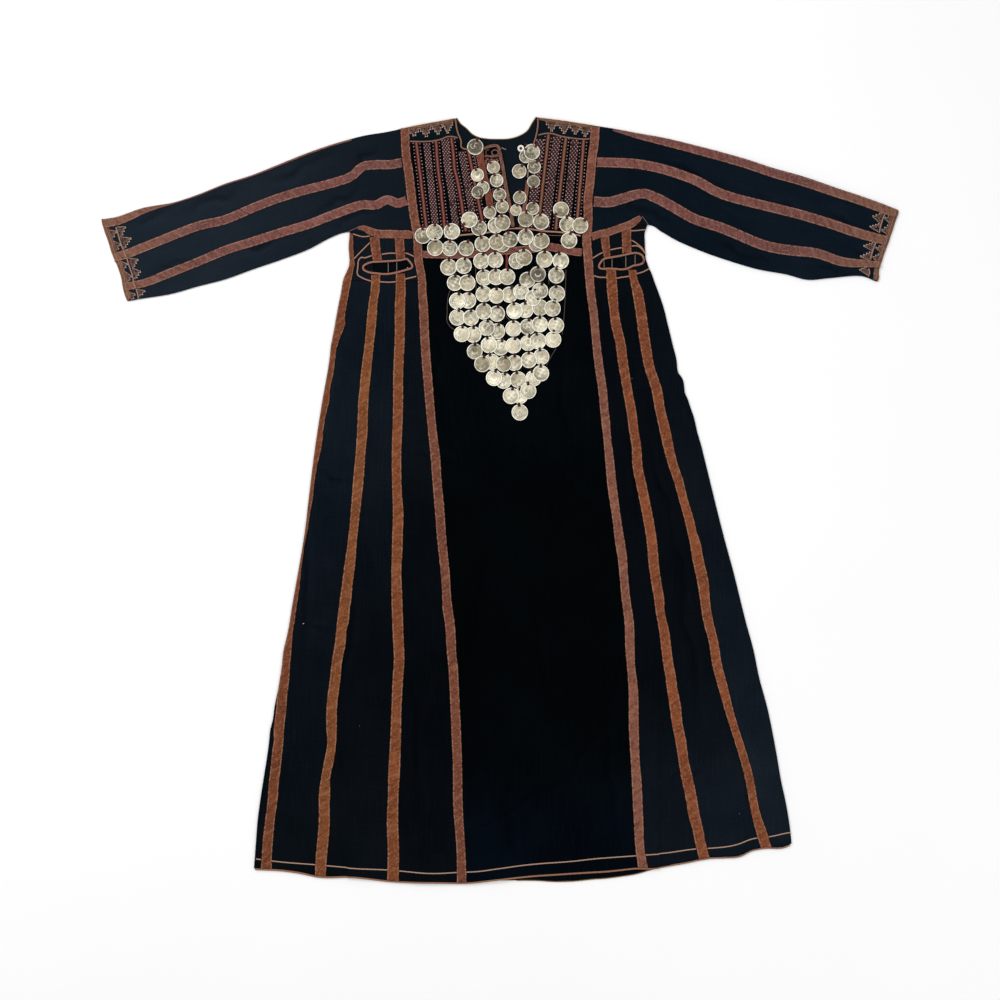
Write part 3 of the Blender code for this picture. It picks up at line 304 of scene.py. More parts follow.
# Coins, strung row by row: level (0 lowest), then (x, y, diameter) of each coin in order.
COIN_ROWS = {
    "coins_neck_left": (1, ((-45, 641, 29.5),)),
    "coins_placket_left": (1, ((-41, 590, 23.5), (-31, 567, 23.5), (-40, 559, 23.5))),
    "coins_placket": (1, ((-12, 604, 23), (-6, 580, 24), (-0.5, 554, 23.5), (4, 532, 23.5),
                          (-18.5, 522, 23))),
    "coins_front_right": (1, ((58, 632, 29), (47, 624, 24), (35, 597, 26), (62, 605, 24),
                              (61, 578, 23))),
    "coins_yoke_right": (1, ((36, 549, 24), (29, 526, 20.5), (47, 509.5, 28.5), (75, 505, 29),
                             (59.5, 529, 23.5))),
    "coins_chest_left": (2, ((-140.5, 479.5, 29), (-119, 486, 30), (-87.5, 487.5, 29.5))),
    "coins_chest_middle": (1, ((-55.5, 508.7, 29.5), (-38, 493.5, 28.5), (-8, 498, 28.5),
                               (4.5, 503, 29))),
    "coins_chest_right": (1, ((111, 527, 29), (122.5, 500, 29), (146, 498, 29),
                              (125.5, 471, 29.5))),
    "coins_band_left": (1, ((-117.5, 457.5, 30), (-91, 456.5, 28.5), (-61.5, 456.5, 28.5))),
    "coins_band_middle": (1, ((-31.5, 464.5, 29), (-6, 467.5, 29), (4, 464, 29),
                              (18, 472.5, 29), (46.5, 477, 29), (75.5, 470, 29),
                              (66.5, 464.5, 28))),
    "coins_bib_row_1": (1, ((-93.5, 422.5, 30), (-66, 425, 29), (-34, 433.5, 29),
                            (-8.5, 435.3, 28.5), (30.5, 434, 29.5), (43.5, 440, 30),
                            (81, 437, 30), (110.5, 434, 29.5))),
    "coins_bib_row_2": (0, ((-82, 394, 29), (-59.5, 394, 29.5), (-29, 403.5, 29),
                            (-7.5, 404.5, 29), (13, 405, 29.5), (50, 399.5, 29),
                            (69, 410, 28.5), (102.5, 407.5, 29))),
    "coins_bib_row_3": (1, ((-77.5, 361, 30), (-58, 362, 29), (-29.5, 373.5, 29.5),
                            (-6.5, 370.5, 28.5), (17.5, 372.5, 29), (38.5, 378, 28.5),
                            (60, 366, 29), (73, 379.5, 29), (103.5, 374.5, 29.5))),
    "coins_bib_row_4": (0, ((-77.5, 331, 29.5), (-53, 330.5, 29), (-29.5, 342, 29.5),
                            (-5.5, 338, 29), (26.5, 343, 29.5), (46.5, 344.5, 28.5),
                            (73, 349, 29.5), (95.5, 347.5, 29.5))),
    "coins_bib_row_5": (1, ((-69.5, 301, 29), (-48.5, 300, 29.5), (-24, 312, 29),
                            (-5, 306, 28.5), (24.5, 311, 29), (50.5, 314, 29),
                            (72.5, 318.5, 29), (102, 316.5, 29))),
    "coins_bib_row_6": (0, ((-46, 269.5, 28.5), (-20, 281, 29.5), (1, 276.5, 29),
                            (24.5, 280, 29), (51, 284.5, 28.5), (69, 288, 29.5),
                            (96.5, 291, 29.5))),
    "coins_bib_row_7": (1, ((-32, 246.5, 29.5), (-15, 250.5, 29), (7, 246.5, 28.5),
                            (26.5, 248.5, 29), (52.5, 253.5, 29), (75, 259.5, 29))),
    "coins_bib_row_8": (0, ((-11, 221, 29), (6.5, 216, 29), (33, 218, 29.5),
                            (61, 220.5, 29), (74.5, 229.5, 29.5))),
    "coins_bib_tip": (1, ((20, 188.5, 29.5), (36.5, 188.5, 29), (51.5, 197.5, 29),
                          (36, 158.5, 29.5)))}

# Which coin of a row lies over which neighbour, and the coins whose hole isn't at the top
# (degrees).
COIN_OVER = {
    "coins_placket_left": ((2, 1),), "coins_front_right": ((0, 1),),
    "coins_yoke_right": ((4, 2),), "coins_chest_left": ((1, 0),),
    "coins_chest_middle": ((0, 1), (3, 2)), "coins_chest_right": ((2, 1),),
    "coins_band_left": ((0, 1),),
    "coins_band_middle": ((1, 0), (1, 2), (3, 1), (3, 2), (4, 6), (5, 6)),
    "coins_bib_row_1": ((1, 0), (3, 2), (5, 4)),
    "coins_bib_row_2": ((1, 0), (3, 2), (4, 3), (6, 5)),
    "coins_bib_row_3": ((0, 1), (3, 2), (5, 4), (6, 5), (7, 6)),
    "coins_bib_row_4": ((1, 0), (2, 1), (2, 3), (4, 5), (7, 6)),
    "coins_bib_row_5": ((0, 1), (2, 3), (2, 1), (6, 5)),
    "coins_bib_row_6": ((1, 2), (3, 2), (5, 4)),
    "coins_bib_row_7": ((0, 1), (2, 1), (2, 3), (4, 3), (4, 5)),
    "coins_bib_row_8": ((0, 1), (2, 1), (4, 3)),
    "coins_bib_tip": ((0, 1), (2, 1))}
HOLE_ANGLE = {
    ("coins_chest_middle", 0): 219, ("coins_chest_right", 0): 221, ("coins_chest_right", 2): 51,
    ("coins_front_right", 4): 268, ("coins_front_right", 0): 56, ("coins_front_right", 2): 64,
    ("coins_front_right", 3): 62, ("coins_placket", 0): 124, ("coins_placket", 1): 112,
    ("coins_placket", 2): 106, ("coins_placket_left", 2): 300, ("coins_chest_left", 2): 118}
# Tarnish of single coins, 0 bright to 1 dull; the rest take a light random value.
DULL = {
    ("coins_neck_left", 0): 0.66, ("coins_placket_left", 2): 0.62, ("coins_chest_left", 0): 0.40,
    ("coins_bib_row_2", 6): 0.58, ("coins_bib_row_2", 5): 0.22, ("coins_band_left", 2): 0.36,
    ("coins_band_middle", 1): 0.28, ("coins_band_middle", 5): 0.28, ("coins_bib_row_6", 0): 0.30,
    ("coins_chest_middle", 1): 0.32, ("coins_chest_middle", 3): 0.30,
    ("coins_front_right", 3): 0.36, ("coins_band_middle", 6): 0.38, ("coins_bib_row_7", 0): 0.34,
    ("coins_bib_row_7", 2): 0.28, ("coins_front_right", 0): 0.24, ("coins_front_right", 2): 0.30}


# ---------------------------------------------------------------- curves and the cloth's height
def smooth(keys, values):
    """Smooth curve through the values at the keys, read at one number or an array."""
    keys, values = np.array(keys, float), np.array(values, float)
    order = np.argsort(keys)
    keys, values = keys[order], values[order]
    slopes = np.gradient(values, keys)

    def read(at):
        at = np.clip(np.asarray(at, float), keys[0], keys[-1])
        i = np.clip(np.searchsorted(keys, at, side="right") - 1, 0, len(keys) - 2)
        span = keys[i + 1] - keys[i]
        t = (at - keys[i]) / span
        return ((1 + 2 * t) * (1 - t) ** 2 * values[i] + t * (1 - t) ** 2 * span * slopes[i]
                + t * t * (3 - 2 * t) * values[i + 1] + t * t * (t - 1) * span * slopes[i + 1])
    return read


def distances(points):
    """Distance along a line of points, from its first one."""
    return np.concatenate([[0], np.cumsum(np.linalg.norm(np.diff(points, axis=0), axis=1))])


def route(points, step, closed=False):
    """Evenly spaced points along a smooth line through the given ones; any further columns
    of the points are carried along."""
    points = np.array(points, float)
    if closed:
        points = np.vstack([points[-2:], points, points[:3]])
    along = distances(points[:, :2])
    curves = [smooth(along, points[:, k]) for k in range(points.shape[1])]
    start, stop = (along[2], along[-3]) if closed else (0.0, along[-1])
    at = np.linspace(start, stop, max(2, int(round((stop - start) / step)) + 1))
    if closed:
        at = at[:-1]
    return np.stack([curve(at) for curve in curves], 1)


def noise_1d(at, seed, wave):
    """Smooth repeatable wobble between about -1 and 1."""
    at = np.asarray(at, float) / wave
    return (np.sin(at * 6.283 + seed * 1.7) + 0.6 * np.sin(at * 10.17 + seed * 3.1)
            + 0.4 * np.sin(at * 17.9 + seed * 0.7)) / 2.0


left_edge = smooth(*zip(*LEFT_EDGE))
right_edge = smooth(*zip(*RIGHT_EDGE))
hem_front = smooth([h.x for h in HEM], [h.front for h in HEM])
hem_back = smooth([h.x for h in HEM], [h.back for h in HEM])
band_left = {k: smooth([r[0] for r in v], [r[1] for r in v]) for k, v in BAND_EDGES.items()}
band_right = {k: smooth([r[0] for r in v], [r[2] for r in v]) for k, v in BAND_EDGES.items()}
sleeve_top = {k: smooth([r.top_x for r in v], [r.top_y for r in v]) for k, v in SLEEVES.items()}
sleeve_low = {k: smooth([r.bottom_x for r in v], [r.bottom_y for r in v])
              for k, v in SLEEVES.items()}


def seam(name, y):
    """Seam under a band; where band a wraps the folded edge it stays just inside the fold."""
    middle = (band_left[name](y) + band_right[name](y)) / 2
    return np.maximum(middle, left_edge(y) + FOLD_R + 1.0) if name == "a" else middle


def shoulder_seam(side, y):
    """Where the sleeve is set in: x at the height y."""
    row = SLEEVES[side][-1]
    share = (np.asarray(y, float) - row.bottom_y) / (row.top_y - row.bottom_y)
    return row.bottom_x + (row.top_x - row.bottom_x) * share


# Where the sleeve's lower edge leaves the body: x there, and the lowest y above the underarm.
ARMPIT_X, UNDERARM_Y = {"left": -278.0, "right": 290.0}, {"left": 481.0, "right": 476.0}
NO_FOLD = 60.0              # a distance from the fold that counts as far away
SLEEVE_SLOPE = 0.95         # share of a height difference that is square to the sleeve's edge


def in_sleeve(side, x, y):
    """True on this side's sleeve."""
    outside = (x - ARMPIT_X[side]) * SIDES[side] > 0
    beyond_seam = (x - shoulder_seam(side, y)) * SIDES[side] > 0
    return beyond_seam & (outside | ((y > UNDERARM_Y[side]) & (y > sleeve_low[side](x))))


def from_fold(x, y):
    """Distance to the nearest folded edge of the garment."""
    gap = np.where(y < WAIST_Y, np.minimum(x - left_edge(y), right_edge(y) - x), NO_FOLD)
    for side in ("right", "left"):
        arm = SLEEVE_SLOPE * np.minimum(sleeve_top[side](x) - y, y - sleeve_low[side](x))
        gap = np.where(in_sleeve(side, x, y), arm, gap)
    return gap


def creased(x, y):
    """Height of the placed creases, and painted light and shade along them that also stands for
    their wear: painted paler ridge, painted darker side.
    """
    total, crease_light_and_shade = np.zeros((2, *np.broadcast(x, y).shape))
    for i, c in enumerate(CREASES):
        dx, dy = c.x2 - c.x1, c.y2 - c.y1
        length = math.hypot(dx, dy)
        along = ((x - c.x1) * dx + (y - c.y1) * dy) / length
        bend = c.half_width * 0.9 * noise_1d(along, i, length * 0.8)
        across = (((x - c.x1) * dy - (y - c.y1) * dx) / length - bend) / c.half_width
        t = np.clip(along / length, -0.2, 1.2)
        fade = np.clip(1.2 - np.abs(t - 0.5) * 2, 0, 1) ** 0.8
        uneven = 0.75 + 0.25 * noise_1d(along, i + 5, 90.0)
        trough = 0.35 * np.exp(-(across - 2.1) ** 2)
        total += c.height * fade * uneven * (np.exp(-across ** 2) - trough)
        # Painted light on each crease's ridge and painted shade beside it.
        crease_light_and_shade += fade * uneven * (0.45 * np.exp(-across ** 2) - np.exp(-((across - 1.2) / 0.7) ** 2))
    return total, crease_light_and_shade


FLAT_RIM, RIM_FADE = 3.0, 24.0      # no relief this close to a fold or seam, then it grows


def relief(x, y):
    """Height of folds, creases and ripples above the flat front cloth."""
    x, y = np.asarray(x, float), np.asarray(y, float)
    total = np.zeros(np.broadcast(x, y).shape)
    run = np.clip((FOLD_TOP - y) / (FOLD_TOP - HEM_Y), 0, 1)
    rise = np.sin(0.5 * np.pi * np.minimum(1.0, 1.6 * run))
    for fold in FOLDS:
        middle = fold.top_x + (fold.hem_x - fold.top_x) * run
        width = fold.half_width * (0.6 + 0.6 * run)
        total += rise * fold.height * np.exp(-((x - middle) / width) ** 2)
    total += creased(x, y)[0]
    ripple = (np.sin(x / 23.0 + 1.3 * np.sin(y / 61.0)) * np.sin(y / 37.0 + 1.1 * np.sin(x / 53.0))
              + 0.6 * np.sin(x / 9.7 + y / 31.0) * np.sin(y / 14.3 - x / 41.0 + 0.8))
    bib = np.exp(-((x - 10.0) / 120.0) ** 2 - ((y - 350.0) / 190.0) ** 2)
    total += (0.34 - 0.22 * bib) * (ripple + 1.4)
    inside = from_fold(x, y)
    near_seam = np.minimum(*(np.abs(x - shoulder_seam(side, y)) for side in SIDES))
    near_seam = np.where(y > WAIST_Y - 8.0, near_seam, NO_FOLD)
    fade = np.clip((np.minimum(inside, near_seam) - FLAT_RIM) / RIM_FADE, 0, 1)
    return np.maximum(total, 0.0) * fade * fade * (3 - 2 * fade)


def surface(x, y):
    """Upper face of the front cloth, round the folded edges too."""
    x, y = np.asarray(x, float), np.asarray(y, float)
    gap = FOLD_R - np.clip(from_fold(x, y), 0.0, FOLD_R)
    return TOP_Z - (FOLD_R - np.sqrt(np.maximum(FOLD_R ** 2 - gap ** 2, 0.0))) + relief(x, y)


# ---------------------------------------------------------------- mesh builders
def make_object(name, points, faces, material, uv=None, tone=None):
    """A smooth-shaded mesh from points in mm, with its cloth coordinates and its shading value."""
    mesh = bpy.data.meshes.new(name)
    points = np.asarray(points, float).reshape(-1, 3) * MM
    sizes = np.array([len(f) for f in faces], np.int32)
    corners = np.fromiter((i for f in faces for i in f), np.int32, int(sizes.sum()))
    mesh.vertices.add(len(points))
    mesh.vertices.foreach_set("co", points.astype(np.float32).ravel())
    mesh.loops.add(len(corners))
    mesh.loops.foreach_set("vertex_index", corners)
    mesh.polygons.add(len(sizes))
    starts = np.concatenate([[0], np.cumsum(sizes)[:-1]])
    mesh.polygons.foreach_set("loop_start", starts.astype(np.int32))
    mesh.polygons.foreach_set("use_smooth", np.full(len(sizes), True))
    mesh.update(calc_edges=True)
    mesh.validate()
    # Navy cloth takes the painted light and shade along the creases as its tone.
    if tone is None and material.name.startswith("navy"):
        tone = creased(points[:, 0] / MM, points[:, 1] / MM)[1]
    if uv is not None:
        layer = mesh.uv_layers.new(name="cloth")
        at = np.zeros(len(mesh.loops), np.int32)
        mesh.loops.foreach_get("vertex_index", at)
        layer.data.foreach_set("uv", np.asarray(uv, np.float32)[at].ravel())
    if tone is not None:
        attribute = mesh.attributes.new("tone", "FLOAT", "POINT")
        attribute.data.foreach_set("value", np.asarray(tone, np.float32))
    mesh.materials.append(material)
    obj = bpy.data.objects.new(name, mesh)
    bpy.context.scene.collection.objects.link(obj)
    return obj


class Pieces:
    """Meshes gathered into one object."""

    def __init__(self):
        self.points, self.faces, self.uv, self.tone, self.count = [], [], [], [], 0

    def add(self, points, faces, uv=None, tone=0.0):
        points = np.asarray(points, float).reshape(-1, 3)
        self.points.append(points)
        self.faces.append([tuple(i + self.count for i in f) for f in faces])
        self.uv.append(np.zeros((len(points), 2)) if uv is None else np.reshape(uv, (-1, 2)))
        self.tone.append(np.full(len(points), tone))
        self.count += len(points)

    def build(self, name, material):
        faces = [f for part in self.faces for f in part]
        return make_object(name, np.vstack(self.points), faces, material, np.vstack(self.uv),
                           np.concatenate(self.tone))


def gathered(name, material, shapes):
    """One object from several shapes, each given as its points, faces and uv."""
    parts = Pieces()
    for shape in shapes:
        parts.add(*shape)
    return parts.build(name, material)


def skin_faces(rows, columns, wrap=False):
    """Faces of a closed wall: an outer grid, an inner one and the rims between them."""
    faces, inner = [], rows * columns
    steps = columns if wrap else columns - 1
    for r in range(rows - 1):
        for c in range(steps):
            d = (c + 1) % columns
            face = (r * columns + c, r * columns + d, (r + 1) * columns + d, (r + 1) * columns + c)
            faces.append(face)
            faces.append(tuple(corner + inner for corner in face[::-1]))
    for c in range(steps):
        d = (c + 1) % columns
        top = (rows - 1) * columns
        faces.append((d, c, c + inner, d + inner))
        faces.append((top + c, top + d, top + d + inner, top + c + inner))
    if not wrap:
        for r in range(rows - 1):
            a, b = r * columns, (r + 1) * columns
            faces.append((a, b, b + inner, a + inner))
            a, b = a + columns - 1, b + columns - 1
            faces.append((b, a, a + inner, b + inner))
    return faces


def wall_faces(outer, inner, wrap=False):
    """Faces of a closed wall between two grids of points, its outer side facing out."""
    rows, columns = outer.shape[:2]
    faces = skin_faces(rows, columns, wrap)
    i, j = (rows - 1) // 2, (columns - 1) // 2
    turn = np.cross(outer[i, j + 1] - outer[i, j], outer[i + 1, j] - outer[i, j])
    if np.dot(turn, outer[i, j] - inner[i, j]) < 0:
        faces = [face[::-1] for face in faces]
    return faces


def grain_at(points):
    """Cloth coordinates of flat cloth, in metres: x across the grain and y along it."""
    return points[:, :2] * MM


def both_sides(outer, inner):
    """Points of the outer grid, then those of the inner one."""
    return np.vstack([outer.reshape(-1, 3), inner.reshape(-1, 3)])


def laid_grid(name, x, y, material):
    """Closed shell of cloth laid on the front, from grids of x and y."""
    z = surface(x, y)
    points = both_sides(np.dstack([x, y, z]), np.dstack([x, y, z - CLOTH]))
    return make_object(name, points, skin_faces(*x.shape), material, grain_at(points))


def inside_loops(x, y, loops):
    """Even-odd test of points against closed outlines."""
    odd = np.zeros(x.shape, bool)
    for loop in loops:
        a = np.asarray(loop, float)
        b = np.roll(a, -1, axis=0)
        for (ax, ay), (bx, by) in zip(a, b):
            if ay != by:
                crosses = (ay > y) != (by > y)
                odd ^= crosses & (x < (bx - ax) * (y - ay) / (by - ay) + ax)
    return odd


ROW_SHARE, RIM_CLEAR = 0.87, 0.45   # of the step: between rows of points, and from the outline


def filled(loops, step):
    """Fine triangles inside closed outlines: points (n, 2), triangles, boundary loops."""
    rims = []
    for loop in loops:
        dense, corners = [], np.array(loop, float)
        for a, b in zip(corners, np.roll(corners, -1, axis=0)):
            parts = max(1, int(round(np.linalg.norm(b - a) / step)))
            dense += [a + (b - a) * k / parts for k in range(parts)]
        rims.append(np.array(dense))
    rim_points = np.vstack(rims)
    low, high = rim_points.min(0), rim_points.max(0)
    gx, gy = np.meshgrid(np.arange(low[0] + step / 2, high[0], step),
                         np.arange(low[1] + step / 2, high[1], step * ROW_SHARE))
    gx = gx + (np.arange(gx.shape[0]) % 2)[:, None] * step / 2
    keep = inside_loops(gx, gy, loops)
    inner = np.stack([gx[keep], gy[keep]], 1)
    if len(inner):
        near = ((inner[:, None, :] - rim_points[None, :, :]) ** 2).sum(2).min(1)
        inner = inner[near > (RIM_CLEAR * step) ** 2]
    points = np.vstack([rim_points, inner])
    edges, start = [], 0
    for rim in rims:
        edges += [(start + i, start + (i + 1) % len(rim)) for i in range(len(rim))]
        start += len(rim)
    found = delaunay_2d_cdt([Vector(p) for p in points], edges, [], 0, 1e-5)
    at = np.array([tuple(v) for v in found[0]])
    triangles = np.array(list(found[2]))
    middle = at[triangles].mean(1)
    triangles = triangles[inside_loops(middle[:, 0], middle[:, 1], loops)]
    return at, triangles


def laid_outline(name, loops, material, lift=0.0, wall=CLOTH, step=GRID, flat=None):
    """Cloth of any outline laid on the front, or on a flat level, as a closed shell."""
    at, triangles = filled(loops, step)
    z = np.full(len(at), flat) if flat is not None else surface(at[:, 0], at[:, 1]) + lift
    a, b, c = (at[triangles[:, k]] for k in range(3))
    turn = (b[:, 0] - a[:, 0]) * (c[:, 1] - a[:, 1]) - (b[:, 1] - a[:, 1]) * (c[:, 0] - a[:, 0])
    triangles[turn < 0] = triangles[turn < 0][:, ::-1]
    count = len(at)
    faces = [tuple(t) for t in triangles.tolist()]
    seen = dict.fromkeys((t[i], t[(i + 1) % 3]) for t in faces for i in range(3))
    rim = [(i, j) for i, j in seen if (j, i) not in seen]
    faces += [(c + count, b + count, a + count) for a, b, c in faces]
    faces += [(j, i, i + count, j + count) for i, j in rim]
    points = np.vstack([np.column_stack([at, z]), np.column_stack([at, z - wall])])
    return make_object(name, points, faces, material, grain_at(points))


def ribbon(points, lift=BAND_LIFT, wall=BAND, columns=9, step=3.2, seed=0, edge=0.35, pucker=0.22,
           swell=0.15):
    """A sewn-on band along a route of (x, y, width): returns points, faces and uv."""
    line = route(points, step)
    x, y, width = line[:, 0], line[:, 1], line[:, 2]
    tangent = np.gradient(line[:, :2], axis=0)
    tangent /= np.linalg.norm(tangent, axis=1)[:, None]
    normal = np.stack([-tangent[:, 1], tangent[:, 0]], 1)
    share = np.linspace(-0.5, 0.5, columns)
    along = distances(line[:, :2])
    fray = 0.3 * noise_1d(along, seed + 2, 17.0)
    px = x[:, None] + normal[:, :1] * (share * (width + fray)[:, None])
    py = y[:, None] + normal[:, 1:] * (share * (width + fray)[:, None])
    return ribbon_grid(px, py, along, share, lift, wall, seed, edge, pucker, swell)


def ribbon_grid(px, py, along, share, lift, wall, seed, edge=0.35, pucker=0.22, swell=0.15):
    """Band surface on grids of x and y, rolled at its edges and puckered along its stitches."""
    base = surface(px, py) + lift
    rim = np.abs(share) * 2
    roll = edge * np.clip((rim - 0.6) / 0.25, 0, 1) * np.clip((1.02 - rim) / 0.1, 0, 1)
    crown = swell * (1 - rim ** 2)
    ribs = pucker * (0.4 + 0.6 * rim) * noise_1d(along[:, None] + 2.0 * share * 3, seed, 9.0)
    top = base + wall + roll + crown + ribs * (0.5 + 0.5 * noise_1d(along, seed + 3, 60.0))[:, None]
    outer = np.dstack([px, py, top])
    inner = np.dstack([px, py, np.minimum(base, top - 0.4)])
    uv = np.dstack(np.broadcast_arrays(share, along[:, None] * MM))
    return both_sides(outer, inner), wall_faces(outer, inner), np.vstack([uv.reshape(-1, 2)] * 2)


def tube(line, radius, sides=6, closed=False, flat=1.0):
    """Round thread or cord along points in space: points, faces, uv."""
    line = np.asarray(line, float)
    count = len(line)
    if closed:
        tangent = np.roll(line, -1, axis=0) - np.roll(line, 1, axis=0)
    else:
        tangent = np.gradient(line, axis=0)
    tangent /= np.maximum(np.linalg.norm(tangent, axis=1)[:, None], 1e-9)
    side = np.cross(tangent, (0.0, 0.0, 1.0))
    length = np.linalg.norm(side, axis=1)[:, None]
    side = np.where(length > 1e-6, side / np.maximum(length, 1e-6), (1.0, 0.0, 0.0))
    up = np.cross(side, tangent)
    radius = np.broadcast_to(np.asarray(radius, float), (count,))
    angle = np.arange(sides) * 2 * np.pi / sides
    ring = (side[:, None, :] * np.cos(angle)[None, :, None]
            + up[:, None, :] * np.sin(angle)[None, :, None] * flat) * radius[:, None, None]
    points = (line[:, None, :] + ring).reshape(-1, 3)
    faces = []
    for r in range(count if closed else count - 1):
        s = (r + 1) % count
        for c in range(sides):
            d = (c + 1) % sides
            faces.append((r * sides + d, r * sides + c, s * sides + c, s * sides + d))
    if not closed:
        faces.append(tuple(range(sides)))
        faces.append(tuple(range(count * sides - 1, (count - 1) * sides - 1, -1)))
    along = distances(line)
    uv = np.stack([np.tile(np.arange(sides) / sides, count), np.repeat(along * MM, sides)], 1)
    return points, faces, uv


def cord(points, radius, step=1.6, closed=False, seed=0, sink=0.35, lift=0.0, flat=1.0, sides=6):
    """Couched cord lying on the cloth, a little uneven between its stitches."""
    line = route(points, step, closed)
    x, y = line[:, 0], line[:, 1]
    along = np.arange(len(line)) * step
    uneven = radius * (1 + 0.1 * noise_1d(along, seed, 7.0))
    z = surface(x, y) + lift + uneven * flat * (1 - sink)
    return tube(np.column_stack([x, y, z]), uneven, sides, closed, flat)


STITCH_FACES = np.array(((0, 1, 5, 4), (1, 2, 6, 5), (2, 3, 7, 6), (3, 0, 4, 7), (4, 5, 6, 7),
                         (3, 2, 1, 0)))
Stitch = namedtuple("Stitch", "x y dx dy width height lift tone", defaults=(0.9, 0.55, 0.0, 0.0))


def sew(name, stitches, material):
    """Flat stitches of thread, each centred at x, y and reaching dx, dy to both sides."""
    rows = np.array(stitches, float)
    x, y, dx, dy, width, height, lift, tone = rows.T
    length = np.hypot(dx, dy)
    nx, ny = -dy / length * width / 2, dx / length * width / 2
    z = surface(x, y) + lift - 0.15
    corners = []
    for share, side, up in ((1.0, 1.0, 0.0), (0.62, 0.5, 1.0)):
        for along, across in ((-1, -1), (1, -1), (1, 1), (-1, 1)):
            corners.append(np.stack([x + along * dx * share + across * nx * side,
                                     y + along * dy * share + across * ny * side,
                                     z + height * up], 1))
    points = np.stack(corners, 1).reshape(-1, 3)
    faces = (STITCH_FACES[None] + 8 * np.arange(len(rows))[:, None, None]).reshape(-1, 4).tolist()
    return make_object(name, points, faces, material, np.zeros((len(points), 2)),
                       np.repeat(tone, 8))


# ---------------------------------------------------------------- materials
class Shader:
    """Small helper for building one node material."""

    def __init__(self, name):
        self.material = bpy.data.materials.new(name)
        self.material.use_nodes = True
        self.tree = self.material.node_tree
        self.bsdf = self.tree.nodes["Principled BSDF"]

    def node(self, kind, inputs=None, **settings):
        made = self.tree.nodes.new("ShaderNode" + kind)
        for key, value in settings.items():
            setattr(made, key, value)
        for key, value in (inputs or {}).items():
            self.feed(made.inputs[key], value)
        return made

    def feed(self, socket, value):
        if isinstance(value, bpy.types.NodeSocket):
            self.tree.links.new(value, socket)
        else:
            socket.default_value = value

    def math(self, operation, a, b=0.0, c=None):
        made = self.node("Math", operation=operation)
        for i, value in enumerate((a, b) if c is None else (a, b, c)):
            self.feed(made.inputs[i], value)
        return made.outputs[0]

    def place(self):
        """Place on the garment, in metres."""
        return self.node("TexCoord").outputs["Object"]

    def attribute(self, name):
        return self.node("Attribute", attribute_name=name).outputs[2]

    def off_middle(self):
        """Distance from the middle line of a band, as a share of its width."""
        return self.math("ABSOLUTE", self.node("SeparateXYZ", {0: self.coordinates()}).outputs[0])

    def coordinates(self, scale=(1.0, 1.0, 1.0), shift=(0.0, 0.0, 0.0)):
        uv = self.node("UVMap", uv_map="cloth").outputs[0]
        return self.node("Mapping", {"Vector": uv, "Scale": scale, "Location": shift}).outputs[0]

    def noise(self, vector, scale, detail=2.0, roughness=0.5, distortion=0.0):
        return self.node("TexNoise", {"Vector": vector, "Scale": scale, "Detail": detail,
                                      "Roughness": roughness, "Distortion": distortion}).outputs[0]

    def wave(self, vector, scale, direction="X", distortion=0.0, detail_scale=1.0):
        made = self.node("TexWave", {"Vector": vector, "Scale": scale, "Distortion": distortion,
                                     "Detail": 1.0, "Detail Scale": detail_scale})
        made.bands_direction = direction
        return made.outputs[1]

    def ramp(self, value, low, high):
        return self.node("MapRange", {0: value, 1: low, 2: high, 3: 0.0, 4: 1.0}).outputs[0]

    def mix(self, factor, first, second):
        made = self.node("Mix", data_type="RGBA")
        self.feed(made.inputs[0], factor)
        for socket, value in ((made.inputs[6], first), (made.inputs[7], second)):
            self.feed(socket, value if isinstance(value, bpy.types.NodeSocket) else (*value, 1.0))
        return made.outputs[2]

    def over(self, colour, other, mask, amount):
        """The other colour laid over the first where the mask is, at this much of its strength."""
        return self.mix(self.math("MULTIPLY", mask, amount), colour, other)

    def slanted(self, slope, squeeze, shift=(0.0, 0.0, 0.0)):
        """Cloth coordinates whose lines run aslant: squeezed across, sheared along."""
        parts = self.node("SeparateXYZ", {0: self.coordinates(shift=shift)})
        along = self.math("MULTIPLY_ADD", parts.outputs[0], slope, parts.outputs[1])
        return self.node("CombineXYZ", {0: self.math("MULTIPLY", parts.outputs[0], squeeze),
                                        1: along}).outputs[0]

    def along(self, axis, stops):
        """A value that goes smoothly through the stops, (place in metres, value), on an axis of
        the garment; a capital letter means the distance from the middle."""
        place = self.node("SeparateXYZ", {0: self.place()})
        place = place.outputs["xyz".index(axis.lower())]
        place = self.math("ABSOLUTE", place) if axis.isupper() else place
        value = stops[0][1]
        for (low, before), (high, after) in zip(stops, stops[1:]):
            value = self.math("MULTIPLY_ADD", self.ramp(place, low, high), after - before, value)
        return value

    def scaled(self, colour, factor):
        return self.node("VectorMath", {0: colour, "Scale": factor}, operation="SCALE").outputs[0]

    def bump(self, height, strength, distance, normal=None):
        made = self.node("Bump", {"Height": height, "Strength": strength, "Distance": distance})
        if normal is not None:
            self.feed(made.inputs["Normal"], normal)
        return made.outputs[0]

    def finish(self, colour, normal=None, **values):
        self.feed(self.bsdf.inputs["Base Color"], colour)
        if normal is not None:
            self.feed(self.bsdf.inputs["Normal"], normal)
        for key, value in values.items():
            self.feed(self.bsdf.inputs[key.replace("_", " ")], value)
        return self.material


WAVE_PERIOD = 0.314         # Blender's wave texture repeats every 0.314 / scale


def shade(colour, factor):
    return tuple(channel * factor for channel in colour)


